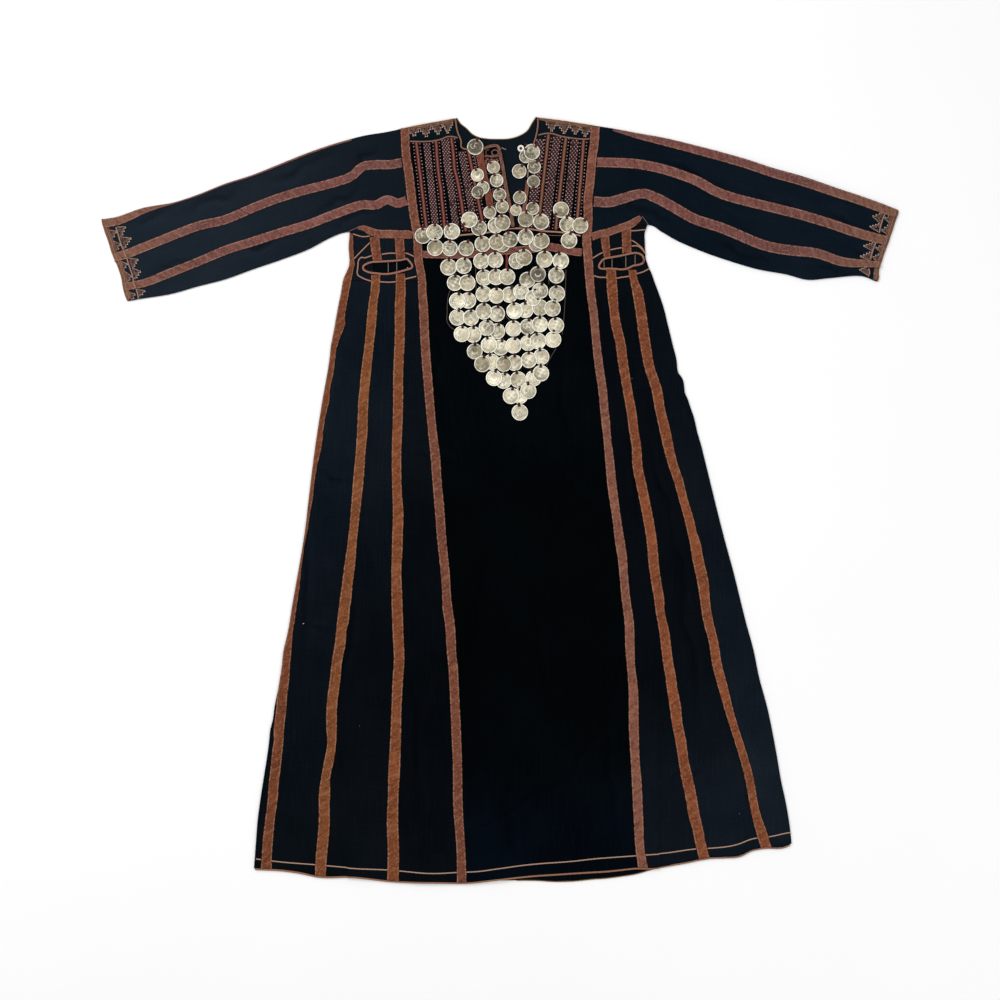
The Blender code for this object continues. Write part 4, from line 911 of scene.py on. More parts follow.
def navy_cloth(name, dark, light, faded, shading_stops=None, far=None, thread=0.00115, sheen=0.006):
    """Plain-woven indigo cotton: slubby threads, faded warp streaks, lint. The shading stops name
    an axis of the garment, then (metres along it, strength) of painted light and shade; far tints
    one end."""
    s = Shader(name)
    plain = s.coordinates()
    clouds = s.noise(plain, 5.0, 3.0, 0.55)
    colour = s.mix(s.ramp(clouds, 0.35, 0.68), dark, light)
    streaks = s.noise(s.coordinates((1.0, 0.06, 1.0)), 260.0, 2.0, 0.6)
    colour = s.over(colour, faded, s.ramp(streaks, 0.5, 0.78), 0.3)
    slubs = s.noise(s.coordinates((0.05, 1.0, 1.0)), 420.0, 2.0, 0.6)
    colour = s.over(colour, faded, s.ramp(slubs, 0.55, 0.8), 0.26)
    warp = s.wave(plain, WAVE_PERIOD / thread, "X", 0.6, 30.0)
    weft = s.wave(plain, WAVE_PERIOD / (thread * 1.15), "Y", 0.6, 30.0)
    weave = s.math("MAXIMUM", warp, weft)
    colour = s.over(colour, shade(dark, 0.35), s.math("SUBTRACT", 1.0, weave), 0.45)
    lint = s.noise(s.coordinates((1.0, 0.4, 1.0)), 900.0, 1.0)
    pale = tuple(min(1.0, channel * 6 + 0.02) for channel in faded)
    colour = s.over(colour, pale, s.ramp(lint, 0.74, 0.84), 0.13)
    grain = s.noise(plain, 470.0, 2.0, 0.7)
    colour = s.scaled(colour, s.math("MULTIPLY_ADD", s.ramp(grain, 0.3, 0.7), 0.8, 0.6))
    # The tone attribute paints light and shade along the creases.
    colour = s.scaled(colour, s.math("MULTIPLY_ADD", s.attribute("tone"), 0.5, 1.0))
    if far is not None:
        axis, near_place, far_place, tint = far
        tint = s.mix(s.along(axis, ((near_place, 0.0), (far_place, 1.0))), (1.0, 1.0, 1.0), tint)
        colour = s.node("VectorMath", {0: colour, 1: tint}, operation="MULTIPLY").outputs[0]
    # Painted light and shade: the colour scaled up or down along an axis of the garment.
    for axis, stops in (shading_stops or {}).items():
        colour = s.scaled(colour, s.along(axis, stops))
    height = s.math("ADD", s.math("MULTIPLY", weave, 0.7), s.math("MULTIPLY", slubs, 0.9))
    normal = s.bump(height, 0.55, 0.0004)
    normal = s.bump(s.noise(plain, 60.0, 3.0), 0.25, 0.0016, normal)
    return s.finish(colour, normal, Roughness=0.95, Specular_IOR_Level=0.015, Sheen_Weight=sheen,
                    Sheen_Roughness=0.45)


def band_cloth(name, base, dark, light, edge, seed=0.0, blend=None, far=None):
    """Handwoven strip: slanting wrinkles with painted shade and painted light along them, speckled
    threads, worn patches, paler turned edges and a painted shadow line at the very edge.
    The far end takes another colour: an axis of the garment, two places on it, the colour."""
    s = Shader(name)
    shift = (seed * 3.7, seed * 1.3, 0.0)
    patches = s.noise(s.coordinates((0.02, 1.0, 1.0), shift), 17.0, 3.0, 0.6)
    colour = s.mix(s.ramp(patches, 0.36, 0.64), dark, base)
    if blend is not None:
        along = s.noise(s.coordinates((0.004, 1.0, 1.0), shift), 3.1, 1.0)
        colour = s.over(colour, blend, s.ramp(along, 0.42, 0.6), 0.75)
    if far is not None:
        axis, near_place, far_place, far_colour = far
        run = s.along(axis, ((near_place, 0.0), (far_place, 1.0)))
        colour = s.over(colour, far_colour, run, 0.85)
    wrinkle_relief_and_shade = s.noise(s.slanted(0.012, 0.007, shift), 105.0, 2.0, 0.6)
    # Painted shade in the wrinkles' folds and painted light on their ridges.
    colour = s.over(colour, shade(dark, 0.62), s.ramp(wrinkle_relief_and_shade, 0.53, 0.66), 0.65)
    colour = s.over(colour, light, s.ramp(wrinkle_relief_and_shade, 0.46, 0.34), 0.58)
    speckle = s.noise(s.coordinates((0.0165, 0.8, 1.0), shift), 330.0, 2.0, 0.6)
    colour = s.over(colour, light, s.ramp(speckle, 0.50, 0.68), 0.8)
    blotch = s.noise(s.coordinates((0.0165, 1.0, 1.0), shift), 150.0, 1.0)
    colour = s.over(colour, dark, s.ramp(blotch, 0.52, 0.68), 0.6)
    grain = s.noise(s.coordinates((0.03, 1.0, 1.0), shift), 800.0, 1.0)
    colour = s.over(colour, shade(dark, 0.35), s.ramp(grain, 0.3, 0.62), 0.3)
    rim = s.off_middle()
    worn = s.ramp(s.noise(s.coordinates((0.004, 1.0, 1.0), shift), 190.0, 1.0), 0.42, 0.58)
    colour = s.over(colour, edge, s.math("MULTIPLY", s.ramp(rim, 0.36, 0.42), worn), 0.55)
    # A painted shadow line along the band's very edge.
    colour = s.over(colour, shade(dark, 0.2), s.ramp(rim, 0.475, 0.495), 0.85)
    ribs = s.wave(s.coordinates((0.0, 1.0, 1.0)), WAVE_PERIOD / 0.0013, "Y", 1.5, 20.0)
    specks = s.math("SUBTRACT", s.math("MULTIPLY", speckle, 0.8), s.math("MULTIPLY", wrinkle_relief_and_shade, 1.4))
    height = s.math("ADD", s.math("MULTIPLY", ribs, 0.5), specks)
    normal = s.bump(height, 0.6, 0.0006)
    return s.finish(colour, normal, Roughness=0.9, Specular_IOR_Level=0.06, Sheen_Weight=0.02,
                    Sheen_Roughness=0.4)


def stripe_cloth(name, middle, side, ground, seed):
    """Raised satin-stitch stripe: pale worn middle with painted light on its raised top, red sides
    with painted shade, dark ground beyond.
    """
    s = Shader(name)
    across = s.off_middle()
    shift = (seed, seed * 1.7, 0.0)
    worn = s.noise(s.coordinates((0.004, 1.0, 1.0), shift), 240.0, 2.0)
    colour = s.mix(s.ramp(worn, 0.3, 0.7), shade(middle, 0.72), middle)
    # Pale middle and red sides: the threads' colours, with painted light on the raised top and
    # painted shade down the sides.
    colour = s.mix(s.ramp(across, 0.04, 0.12), colour, side)
    ticks = s.wave(s.coordinates((0.0, 1.0, 1.0)), WAVE_PERIOD / 0.0011, "Y", 1.0, 20.0)
    colour = s.over(colour, shade(side, 0.4), ticks, 0.4)
    colour = s.mix(s.ramp(across, 0.30, 0.36), colour, ground)
    normal = s.bump(s.math("ADD", ticks, worn), 0.5, 0.0003)
    return s.finish(colour, normal, Roughness=0.8, Specular_IOR_Level=0.08, Sheen_Weight=0.02)


def thread(name, base, dark, ply=0.0022, lustre=0.7):
    """Twisted cotton thread or cord, with its ply running round it."""
    s = Shader(name)
    parts = s.node("SeparateXYZ", {0: s.coordinates()})
    twist = s.math("ADD", parts.outputs[0], s.math("DIVIDE", parts.outputs[1], ply))
    ply_wave = s.math("SINE", s.math("MULTIPLY", twist, 6.2832))
    mottled = s.noise(s.coordinates(), 140.0, 2.0)
    wear = s.math("ADD", s.math("MULTIPLY", s.ramp(mottled, 0.3, 0.7), 0.55), s.attribute("tone"))
    colour = s.mix(wear, base, dark)
    colour = s.over(colour, dark, s.ramp(ply_wave, 0.2, -0.9), 0.35)
    normal = s.bump(ply_wave, 0.35, 0.0003)
    return s.finish(colour, normal, Roughness=lustre, Specular_IOR_Level=0.2, Sheen_Weight=0.1)


def stitch_thread(name, base, dark):
    """Short embroidery stitches, each a little lighter or darker."""
    s = Shader(name)
    place = s.place()
    mottled, broad = s.noise(place, 700.0, 1.0), s.noise(place, 38.0, 2.0)
    wear = s.math("ADD", s.math("MULTIPLY", s.ramp(mottled, 0.3, 0.7), 0.3),
                  s.math("MULTIPLY", s.ramp(broad, 0.35, 0.7), 0.35))
    colour = s.mix(s.math("ADD", wear, s.attribute("tone")), base, dark)
    return s.finish(colour, s.bump(mottled, 0.4, 0.0003), Roughness=0.75, Specular_IOR_Level=0.2,
                    Sheen_Weight=0.1)


def coin_metal(name, bright, dull, grime):
    """Struck base-silver: bright worn rim with a painted highlight, beaded ring, uneven field with
    dark hollows; the depth attribute paints the relief's shade and light and each coin's glint.
    """
    s = Shader(name)
    parts = s.node("SeparateXYZ", {0: s.coordinates()})
    x, y = parts.outputs[0], parts.outputs[1]
    radius = s.math("SQRT", s.math("ADD", s.math("MULTIPLY", x, x), s.math("MULTIPLY", y, y)))
    place, tone, depth = s.place(), s.attribute("tone"), s.attribute("depth")
    warmth = s.noise(place, 26.0, 1.0)
    blotch = s.noise(place, 170.0, 3.0, 0.6)
    fine = s.noise(place, 620.0, 2.0, 0.6)
    worn = s.math("ADD", s.math("MULTIPLY", s.ramp(blotch, 0.34, 0.64), 0.27),
                  s.math("MULTIPLY", s.ramp(fine, 0.36, 0.66), 0.32))
    # The depth attribute paints shade in the relief's hollows, light on its raised parts, each
    # coin's glint and the shade on its far side.
    worn = s.math("ADD", worn, s.math("MULTIPLY", depth, 0.9))
    field = s.mix(s.math("ADD", worn, tone), bright, dull)
    field = s.over(field, grime, s.ramp(warmth, 0.42, 0.6), 0.35)
    hollow = s.math("MULTIPLY", s.ramp(radius, 0.80, 0.85), s.ramp(radius, 0.925, 0.89))
    hollow = s.math("MULTIPLY", hollow, s.math("ADD", 0.35, s.ramp(blotch, 0.4, 0.6)))
    field = s.over(field, shade(grime, 0.36), hollow, 0.62)
    black = s.math("MULTIPLY", s.ramp(tone, 0.5, 0.6), s.ramp(depth, 0.1, 0.5))
    field = s.over(field, (0.055, 0.050, 0.036), black, 0.75)
    # The near-white rim: worn metal with a painted highlight on it.
    clean = s.math("SUBTRACT", 1.0, s.math("MULTIPLY", tone, 0.6))
    rim = s.math("MULTIPLY", s.ramp(radius, 0.89, 0.935), clean)
    patchy = s.math("MULTIPLY", s.ramp(blotch, 0.62, 0.45), 0.38)
    rim = s.math("MULTIPLY", rim, s.math("ADD", 0.62, patchy))
    colour = s.mix(rim, field, (1.0, 0.98, 0.86))
    angle = s.math("ARCTAN2", y, x)
    beads = s.math("SINE", s.math("MULTIPLY", angle, 46.0))
    ring = s.math("MULTIPLY", s.ramp(radius, 0.79, 0.82), s.ramp(radius, 0.88, 0.85))
    reeds = s.math("SINE", s.math("MULTIPLY", angle, 23.0))
    band = s.math("MULTIPLY", s.ramp(radius, 0.62, 0.65), s.ramp(radius, 0.76, 0.73))
    marks = s.math("MULTIPLY", band, s.math("MULTIPLY", reeds, s.ramp(fine, 0.4, 0.6)))
    height = s.math("ADD", s.math("MULTIPLY", beads, ring),
                    s.math("ADD", s.math("MULTIPLY", marks, 0.9), s.math("MULTIPLY", fine, 0.8)))
    normal = s.bump(height, 0.45, 0.0004)
    return s.finish(colour, normal, Metallic=0.25, Roughness=0.42, Specular_IOR_Level=0.35)


def plain_solid(name, base, dark, roughness=0.4):
    """Mottled smooth material."""
    s = Shader(name)
    mottled = s.noise(s.place(), 300.0, 3.0)
    colour = s.over(base, dark, s.ramp(mottled, 0.4, 0.75), 0.5)
    return s.finish(colour, s.bump(mottled, 0.15, 0.0002), Roughness=roughness)


# Each navy cloth is scaled lighter or darker along one axis as painted light and shade; the sleeves
# are painted darker towards the body, painted shade by the underarm.
NAVY_SLEEVE_LEFT = navy_cloth(
    "navy_sleeve_left", (0.0076, 0.0122, 0.0190), (0.0108, 0.0160, 0.0232), (0.016, 0.022, 0.029),
    {"X": ((0.16, 0.62), (0.26, 0.78), (0.36, 1.0), (0.68, 1.22))})
NAVY_SLEEVE_RIGHT = navy_cloth(
    "navy_sleeve_right", (0.0026, 0.0058, 0.0108), (0.0046, 0.0088, 0.0148), (0.009, 0.0135, 0.019),
    {"X": ((0.20, 0.95), (0.42, 1.05), (0.68, 1.3))})
# The back is painted much darker below 0.45 m: painted shade where it shows inside the pocket
# slits.
NAVY_BACK = navy_cloth(
    "navy_back", (0.0062, 0.0118, 0.0185), (0.0094, 0.0158, 0.0232), (0.016, 0.022, 0.029),
    {"y": ((0.45, 0.22), (0.53, 0.64), (0.66, 0.60))})
# How much lighter or darker each skirt panel is painted, from the waist to the hem: painted light
# and shade.
SIDE_COLOURS = (0.0020, 0.0038, 0.0063), (0.0044, 0.0067, 0.0102), (0.009, 0.012, 0.0165)
NAVY_SIDE = {name: navy_cloth("navy_" + name, *SIDE_COLOURS,
                              {"y": ((0.30, waist), (-0.05, middle), (-0.30, low), (-0.62, hem))})
             for name, waist, middle, low, hem in (
                 ("left_outer", 1.55, 1.35, 1.0, 0.85), ("left_middle", 1.45, 1.05, 0.55, 0.85),
                 ("left_inner", 1.05, 0.62, 0.42, 0.66), ("right_inner", 0.65, 0.52, 0.56, 1.3),
                 ("right_middle", 0.8, 0.55, 0.75, 1.7), ("right_outer", 0.92, 1.25, 1.65, 2.2),
                 ("underarm", 1.45, 1.1, 1.0, 1.0))}
NAVY_CENTRE = navy_cloth(
    "navy_centre", (0.0002, 0.0008, 0.0012), (0.0007, 0.0018, 0.0023), (0.0021, 0.0034, 0.0041),
    {"y": ((0.12, 1.4), (-0.04, 0.85), (-0.45, 1.1), (-0.60, 1.7))},
    ("y", -0.42, -0.60, (1.1, 1.15, 1.7)))
NAVY_YOKE = navy_cloth(
    "navy_yoke", (0.0032, 0.0066, 0.0108), (0.0052, 0.0098, 0.0152), (0.009, 0.013, 0.018),
    {"y": ((0.646, 0.28), (0.658, 1.0))})
TAN_EDGE = (0.40, 0.225, 0.140)
RUST = [band_cloth("rust_band_%d" % i, base, dark, light, TAN_EDGE, i, far=far)
        for i, (base, dark, light, far) in enumerate((
            ((0.194, 0.056, 0.024), (0.127, 0.037, 0.016), (0.305, 0.118, 0.060), None),
            ((0.238, 0.077, 0.027), (0.157, 0.049, 0.018), (0.350, 0.142, 0.066), None),
            ((0.232, 0.069, 0.026), (0.155, 0.045, 0.018), (0.340, 0.130, 0.060), None),
            ((0.250, 0.072, 0.029), (0.166, 0.047, 0.020), (0.365, 0.138, 0.066),
             ("y", 0.08, 0.32, (0.160, 0.043, 0.019)))))]
STUB_CLOTH = band_cloth("stub_band", (0.190, 0.058, 0.030), (0.120, 0.036, 0.019),
                        (0.300, 0.115, 0.068), TAN_EDGE, 5)
ROSE = [band_cloth("rose_band_%d" % i, base, dark, light, (0.42, 0.235, 0.165), i + 7, blend, far)
        for i, (base, dark, light, blend, far) in enumerate((
            ((0.220, 0.082, 0.056), (0.145, 0.050, 0.036), (0.340, 0.165, 0.112),
             (0.190, 0.070, 0.045), ("y", 0.30, -0.45, (0.190, 0.060, 0.034))),
            ((0.215, 0.078, 0.050), (0.143, 0.048, 0.032), (0.340, 0.155, 0.102),
             (0.205, 0.080, 0.055), ("y", 0.22, -0.30, (0.232, 0.088, 0.056))),
            ((0.190, 0.066, 0.050), (0.120, 0.040, 0.032), (0.290, 0.130, 0.098),
             (0.200, 0.068, 0.056), None),
            ((0.195, 0.067, 0.041), (0.128, 0.042, 0.027), (0.305, 0.138, 0.086),
             (0.168, 0.057, 0.034), ("y", 0.30, -0.45, (0.168, 0.049, 0.026)))))]
SLEEVE_ROSE = [band_cloth("sleeve_band_%d" % i, base, dark, light, (0.40, 0.235, 0.175), i + 13,
                          blend, ("X", 0.54, 0.69, (0.235, 0.112, 0.066)))
               for i, (base, dark, light, blend) in enumerate((
                   ((0.185, 0.076, 0.064), (0.120, 0.046, 0.040), (0.300, 0.150, 0.122),
                    (0.215, 0.072, 0.058)),
                   ((0.180, 0.072, 0.062), (0.115, 0.044, 0.038), (0.290, 0.145, 0.118),
                    (0.205, 0.068, 0.058))))]
SHOULDER_CLOTH = band_cloth("shoulder_cloth", (0.225, 0.098, 0.042), (0.145, 0.062, 0.028),
                            (0.400, 0.210, 0.100), (0.42, 0.25, 0.13), 23)
CUFF_CLOTH = band_cloth("cuff_cloth", (0.190, 0.078, 0.050), (0.115, 0.048, 0.032),
                        (0.300, 0.150, 0.100), (0.34, 0.19, 0.10), 31)
PLACKET_BAND = band_cloth("placket_band_cloth", (0.190, 0.056, 0.034), (0.125, 0.036, 0.023),
                          (0.280, 0.108, 0.066), (0.30, 0.15, 0.09), 37)
PLACKET_EDGE = band_cloth("placket_edge_cloth", (0.200, 0.086, 0.056), (0.120, 0.050, 0.034),
                          (0.320, 0.165, 0.115), (0.40, 0.24, 0.17), 39)
STRIPE_RED = stripe_cloth("stripe_red", (0.380, 0.158, 0.110), (0.130, 0.032, 0.025),
                          (0.020, 0.0055, 0.006), 41)
STRIPE_TAN = stripe_cloth("stripe_tan", (0.370, 0.172, 0.104), (0.145, 0.054, 0.034),
                          (0.020, 0.0065, 0.006), 43)
CHECK_GROUND = stitch_thread("check_ground", (0.022, 0.0055, 0.006), (0.009, 0.003, 0.0035))
HEM_THREAD = thread("hem_thread", (0.480, 0.300, 0.215), (0.290, 0.160, 0.110))
CUFF_CORD = thread("cuff_cord", (0.360, 0.215, 0.155), (0.200, 0.112, 0.078))
CORD = thread("tan_cord", (0.430, 0.225, 0.150), (0.230, 0.105, 0.068))
BINDING = thread("rust_binding", (0.330, 0.160, 0.092), (0.170, 0.075, 0.042), 0.0016)
CUFF_ROLL = thread("cuff_binding_thread", (0.215, 0.105, 0.045), (0.110, 0.050, 0.024), 0.0016)
PIPING = thread("ring_binding", (0.330, 0.145, 0.095), (0.190, 0.075, 0.048), 0.0014)
RED_THREAD = thread("red_thread", (0.150, 0.020, 0.014), (0.030, 0.010, 0.007), 0.0018)
RED_CORD = thread("red_cord", (0.230, 0.026, 0.016), (0.095, 0.013, 0.010), 0.0018)
BROWN_THREAD = thread("brown_thread", (0.110, 0.062, 0.042), (0.055, 0.030, 0.022), 0.0018)
PINK_STITCH = stitch_thread("pink_stitch", (0.560, 0.350, 0.320), (0.300, 0.120, 0.110))
BROWN_STITCH = stitch_thread("brown_stitch", (0.300, 0.160, 0.118), (0.125, 0.058, 0.043))
YOKE_CORD = thread("yoke_cord", (0.270, 0.135, 0.088), (0.140, 0.065, 0.042))
TAN_STITCH = stitch_thread("tan_stitch", (0.600, 0.450, 0.345), (0.330, 0.210, 0.150))
EDGE_STITCH = stitch_thread("edge_stitch", (0.480, 0.270, 0.180), (0.230, 0.100, 0.062))
HOLE_THREAD = thread("buttonhole_cord", (0.200, 0.098, 0.070), (0.095, 0.044, 0.031))
SLIT_THREAD = thread("slit_thread", (0.420, 0.300, 0.220), (0.200, 0.130, 0.095), 0.0014)
WHITE_THREAD = thread("white_thread", (0.620, 0.580, 0.500), (0.400, 0.360, 0.300), 0.0012)
SILVER = coin_metal("coin_silver", (0.985, 0.922, 0.722), (0.130, 0.112, 0.072),
                    (0.470, 0.385, 0.240))
BONE = plain_solid("button_bone", (0.80, 0.78, 0.74), (0.60, 0.57, 0.52))


# ---------------------------------------------------------------- cloth panels
def register(piece, *nodes):
    """The piece rides on the garment and stands in for its CAD nodes, which are hidden."""
    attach(piece, "root")
    if nodes:
        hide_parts(*nodes)
    return piece


def to_hem(left, right, share):
    """Where columns at these shares between two side curves meet the hem, found step by step."""
    y = np.full(len(share), HEM_LEFT_Y + 1.0)
    for _ in range(8):
        y = hem_front(left(y) * (1 - share) + right(y) * share)
    return y


WIDTH_LEVELS = (390.0, 0.0, -400.0, -680.0)     # heights at which a gore's width is tried


def gore(name, left, right, top, material):
    """Skirt panel between two side curves, from the height top (one per column or all) down to
    the hem."""
    widest = max(float(right(y) - left(y)) for y in WIDTH_LEVELS)
    share = np.linspace(0.0, 1.0, int(round(widest / GRID)) + 1)
    low = to_hem(left, right, share)
    top = np.broadcast_to(top(share) if callable(top) else top, share.shape)
    run = np.linspace(0.0, 1.0, int(round((top.max() - low.min()) / GRID)) + 1)[:, None]
    y = low + (top - low) * run
    x = left(y) * (1 - share) + right(y) * share
    return register(laid_grid(name + "_cloth", x, y, material), name)


BEND_STEPS = 6              # steps round a folded edge


def half_turn(steps=BEND_STEPS):
    """Angles round a folded edge, from its top to its underside."""
    return [math.radians(90 - 180.0 * i / steps) for i in range(steps + 1)]


def folded(name, levels, front, side, sign, columns, material, bottom=None, top=None):
    """Panel that lies on the front, bends round the garment's edge and reaches on to the back.
    Its first and last rows may follow a curve; the sign is that of x at the edge."""
    outer, inner = [], []
    ends = {levels[0]: bottom, levels[-1]: top}
    for y in levels:
        end = ends.get(y)
        start, edge_x = float(front(y)), float(side(y))
        bend = edge_x - sign * FOLD_R
        share = np.linspace(0.0, 1.0, columns)
        x = start + (bend - start) * share
        row_y = np.full(len(x), float(y)) if end is None else end(x)
        z = surface(x, row_y)
        out = list(zip(x, row_y, z))
        into = list(zip(x, row_y, z - CLOTH))
        for angle in half_turn()[1:]:
            c, s = sign * math.cos(angle), math.sin(angle)
            out.append((bend + FOLD_R * c, row_y[-1], FOLD_R + FOLD_R * s))
            into.append((bend + LAYER_GAP / 2 * c, row_y[-1], FOLD_R + LAYER_GAP / 2 * s))
        for reach in (12.0, 24.0, BACK_FLAP):
            x_flap = edge_x - sign * reach
            y_flap = float(y) if end is None else float(end(x_flap))
            out.append((x_flap, y_flap, 0.0))
            into.append((x_flap, y_flap, CLOTH))
        outer.append(out)
        inner.append(into)
    outer, inner = np.array(outer), np.array(inner)
    points = both_sides(outer, inner)
    faces = wall_faces(outer, inner)
    return register(make_object(name + "_cloth", points, faces, material, grain_at(points)), name)


def levels_between(low, high, step):
    """Evenly spaced heights about a step apart."""
    return np.linspace(low, high, int(round((high - low) / step)) + 1)


# How far a cuff's edge is drawn in, from its upper corner (0) to its lower one (1).
CUFF_BOW = {
    "left": ((0.0, 1.6), (0.03, 0.6), (0.12, 0.0), (0.3, 0.8), (0.4, 0.5), (0.49, 1.6), (0.55, 3.0),
             (0.64, 3.6), (0.73, 3.2), (0.79, 1.8), (0.86, 0.4), (0.95, 0.2), (1, 1.0)),
    "right": ((0, 3.6), (0.03, 1.9), (0.11, 2.0), (0.17, 2.7), (0.28, 2.9), (0.37, 3.7),
              (0.45, 3.8), (0.51, 4.6), (0.64, 5.8), (0.73, 6.0), (0.785, 6.8), (0.84, 6.4),
              (0.9, 4.5), (0.95, 2.4), (1, 3.0))}
cuff_bow = {side: smooth(*zip(*table)) for side, table in CUFF_BOW.items()}


def cuff_spot(side, share):
    """A point of the cuff's edge, from its upper corner (0) to its lower one (1)."""
    row = SLEEVES[side][0]
    drawn_in = -SIDES[side] * float(cuff_bow[side](share))
    return np.array((row.top_x + (row.bottom_x - row.top_x) * share + drawn_in,
                     row.top_y + (row.bottom_y - row.top_y) * share))


SLEEVE_ROWS, UPPER_COLUMNS, LOWER_COLUMNS = 112, 38, 9


def fold_columns(place, sign, angles):
    """Columns round one of a sleeve's folded edges."""
    return [(place, sign * math.cos(angle), FOLD_R + FOLD_R * math.sin(angle),
             FOLD_R + LAYER_GAP / 2 * math.sin(angle), False) for angle in angles]


def sleeve(side, material):
    """Whole tube of a sleeve pressed flat, cuff to shoulder."""
    rows = SLEEVES[side]
    key = np.arange(len(rows), dtype=float)
    at = [smooth(key, [row[k] for row in rows]) for k in range(4)]
    t = np.linspace(0, len(rows) - 1, SLEEVE_ROWS)
    top = np.stack([at[0](t), at[1](t)], 1)
    bottom = np.stack([at[2](t), at[3](t)], 1)
    across = bottom - top
    length = np.linalg.norm(across, axis=1)
    across = across / length[:, None]
    flat = length - 2 * FOLD_R
    # Each column: distance across, share of the bend's radius, height outside and inside, relief.
    # The upper layer from the top fold to the lower one, then the lower layer back to the top.
    path = [(FOLD_R + s * flat, 0.0, TOP_Z, FRONT_Z, True)
            for s in np.linspace(0, 1, UPPER_COLUMNS)]
    path += fold_columns(length - FOLD_R, 1, half_turn()[1:-1])
    path += [(FOLD_R + s * flat, 0.0, 0.0, CLOTH, False) for s in np.linspace(1, 0, LOWER_COLUMNS)]
    path += fold_columns(np.full(len(t), FOLD_R), -1, half_turn()[::-1][1:-1])
    layers = []
    near_cuff = np.clip(1.0 - t / 1.7, 0, 1) ** 2
    for layer, radius in enumerate((FOLD_R, LAYER_GAP / 2)):
        grid = np.zeros((len(t), len(path), 3))
        for k, (place, turn, *heights, rippled) in enumerate(path):
            reach = place + radius * turn
            spot = top + across * reach[:, None]
            spot[:, 0] -= SIDES[side] * near_cuff * cuff_bow[side](reach / length)
            grid[:, k, :2] = spot
            grid[:, k, 2] = heights[layer] + (relief(*spot.T) if rippled else 0.0)
        layers.append(grid)
    along = distances(top + bottom) / 2
    around = np.linspace(0, 1, len(path)) * 2 * float(length.mean())
    uv = np.dstack(np.broadcast_arrays(around, along[:, None])) * MM
    piece = make_object("sleeve_%s_cloth" % side, both_sides(*layers), wall_faces(*layers, True),
                        material, np.vstack([uv.reshape(-1, 2)] * 2))
    return register(piece, "sleeve_" + side)


def gap_beside(curve, distance):
    """The curve moved sideways."""
    return lambda y: curve(y) + distance


def below_sleeve(side):
    """The body's upper edge, tucked against the lower edge of the sleeve."""
    return lambda x: sleeve_low[side](x) - SEAM


def seam_curve(name):
    return lambda y: seam(name, np.asarray(y, float))


def ring_offset(points, distance):
    """A closed outline moved sideways, outward for a positive distance."""
    a = np.array(points, float)
    along = np.roll(a, -1, axis=0) - np.roll(a, 1, axis=0)
    along /= np.linalg.norm(along, axis=1)[:, None]
    x, y = a.T
    area = np.sum(x * np.roll(y, -1) - np.roll(x, -1) * y)
    sign = -1.0 if area > 0 else 1.0
    return a + sign * distance * np.stack([-along[:, 1], along[:, 0]], 1)


GORE_TOP = 398.0            # height where the outer gores meet the underarm panels
GORES = (("left_outer", "a", "b"), ("left_middle", "b", "c"), ("left_inner", "c", "d"),
         ("right_inner", "e", "f"), ("right_middle", "f", "g"))
for name, first, second in GORES:
    gore("gore_" + name, gap_beside(seam_curve(first), SEAM / 2),
         gap_beside(seam_curve(second), -SEAM / 2), GORE_TOP, NAVY_SIDE[name])

yoke_bottom = smooth(*zip(*YOKE_BOTTOM))
d_inner, e_inner = gap_beside(seam_curve("d"), SEAM / 2), gap_beside(seam_curve("e"), -SEAM / 2)
gore("centre_front_panel", d_inner, e_inner,
     lambda share: yoke_bottom(d_inner(WAIST_Y) * (1 - share) + e_inner(WAIST_Y) * share) - 1.4,
     NAVY_CENTRE)


def hem_levels(edge, high, step):
    """Heights of the rows of a side panel: the hem, then evenly up from just above it."""
    low = float(to_hem(edge, edge, np.zeros(1))[0])
    return np.concatenate([[low], levels_between(-610.0, high, step)])


folded("side_panel_left", hem_levels(left_edge, 483.8, 8.0), gap_beside(seam_curve("a"), -SEAM / 2),
       left_edge, sign=-1, columns=5, material=NAVY_SIDE["left_outer"], bottom=hem_front,
       top=below_sleeve("left"))
folded("side_panel_right", hem_levels(right_edge, GORE_TOP, 6.0),
       gap_beside(seam_curve("g"), SEAM / 2), right_edge, sign=1, columns=11,
       material=NAVY_SIDE["right_outer"], bottom=hem_front)

GUSSET_RIGHT_FRONT = ((398.4, 278.0), (410, 273.4), (425, 267.6), (440, 262.6), (452, 261),
                      (462, 249), (473.5, 236.4), (485, 236.2), (498.8, 236.2))
gusset_front = smooth(*zip(*GUSSET_RIGHT_FRONT))
gusset_edge = smooth((398.4, 470, 486, 490.5, 498.8), (0.0, 0.0, 0.4, 1.8, 5.6))
folded("gusset_right", levels_between(398.4, 498.8, 5.0), gusset_front,
       lambda y: max(float(right_edge(y)) + float(gusset_edge(y)),
                     float(gusset_front(y)) + FOLD_R + 1.0),
       sign=1, columns=6, material=NAVY_SIDE["right_outer"], top=below_sleeve("right"))

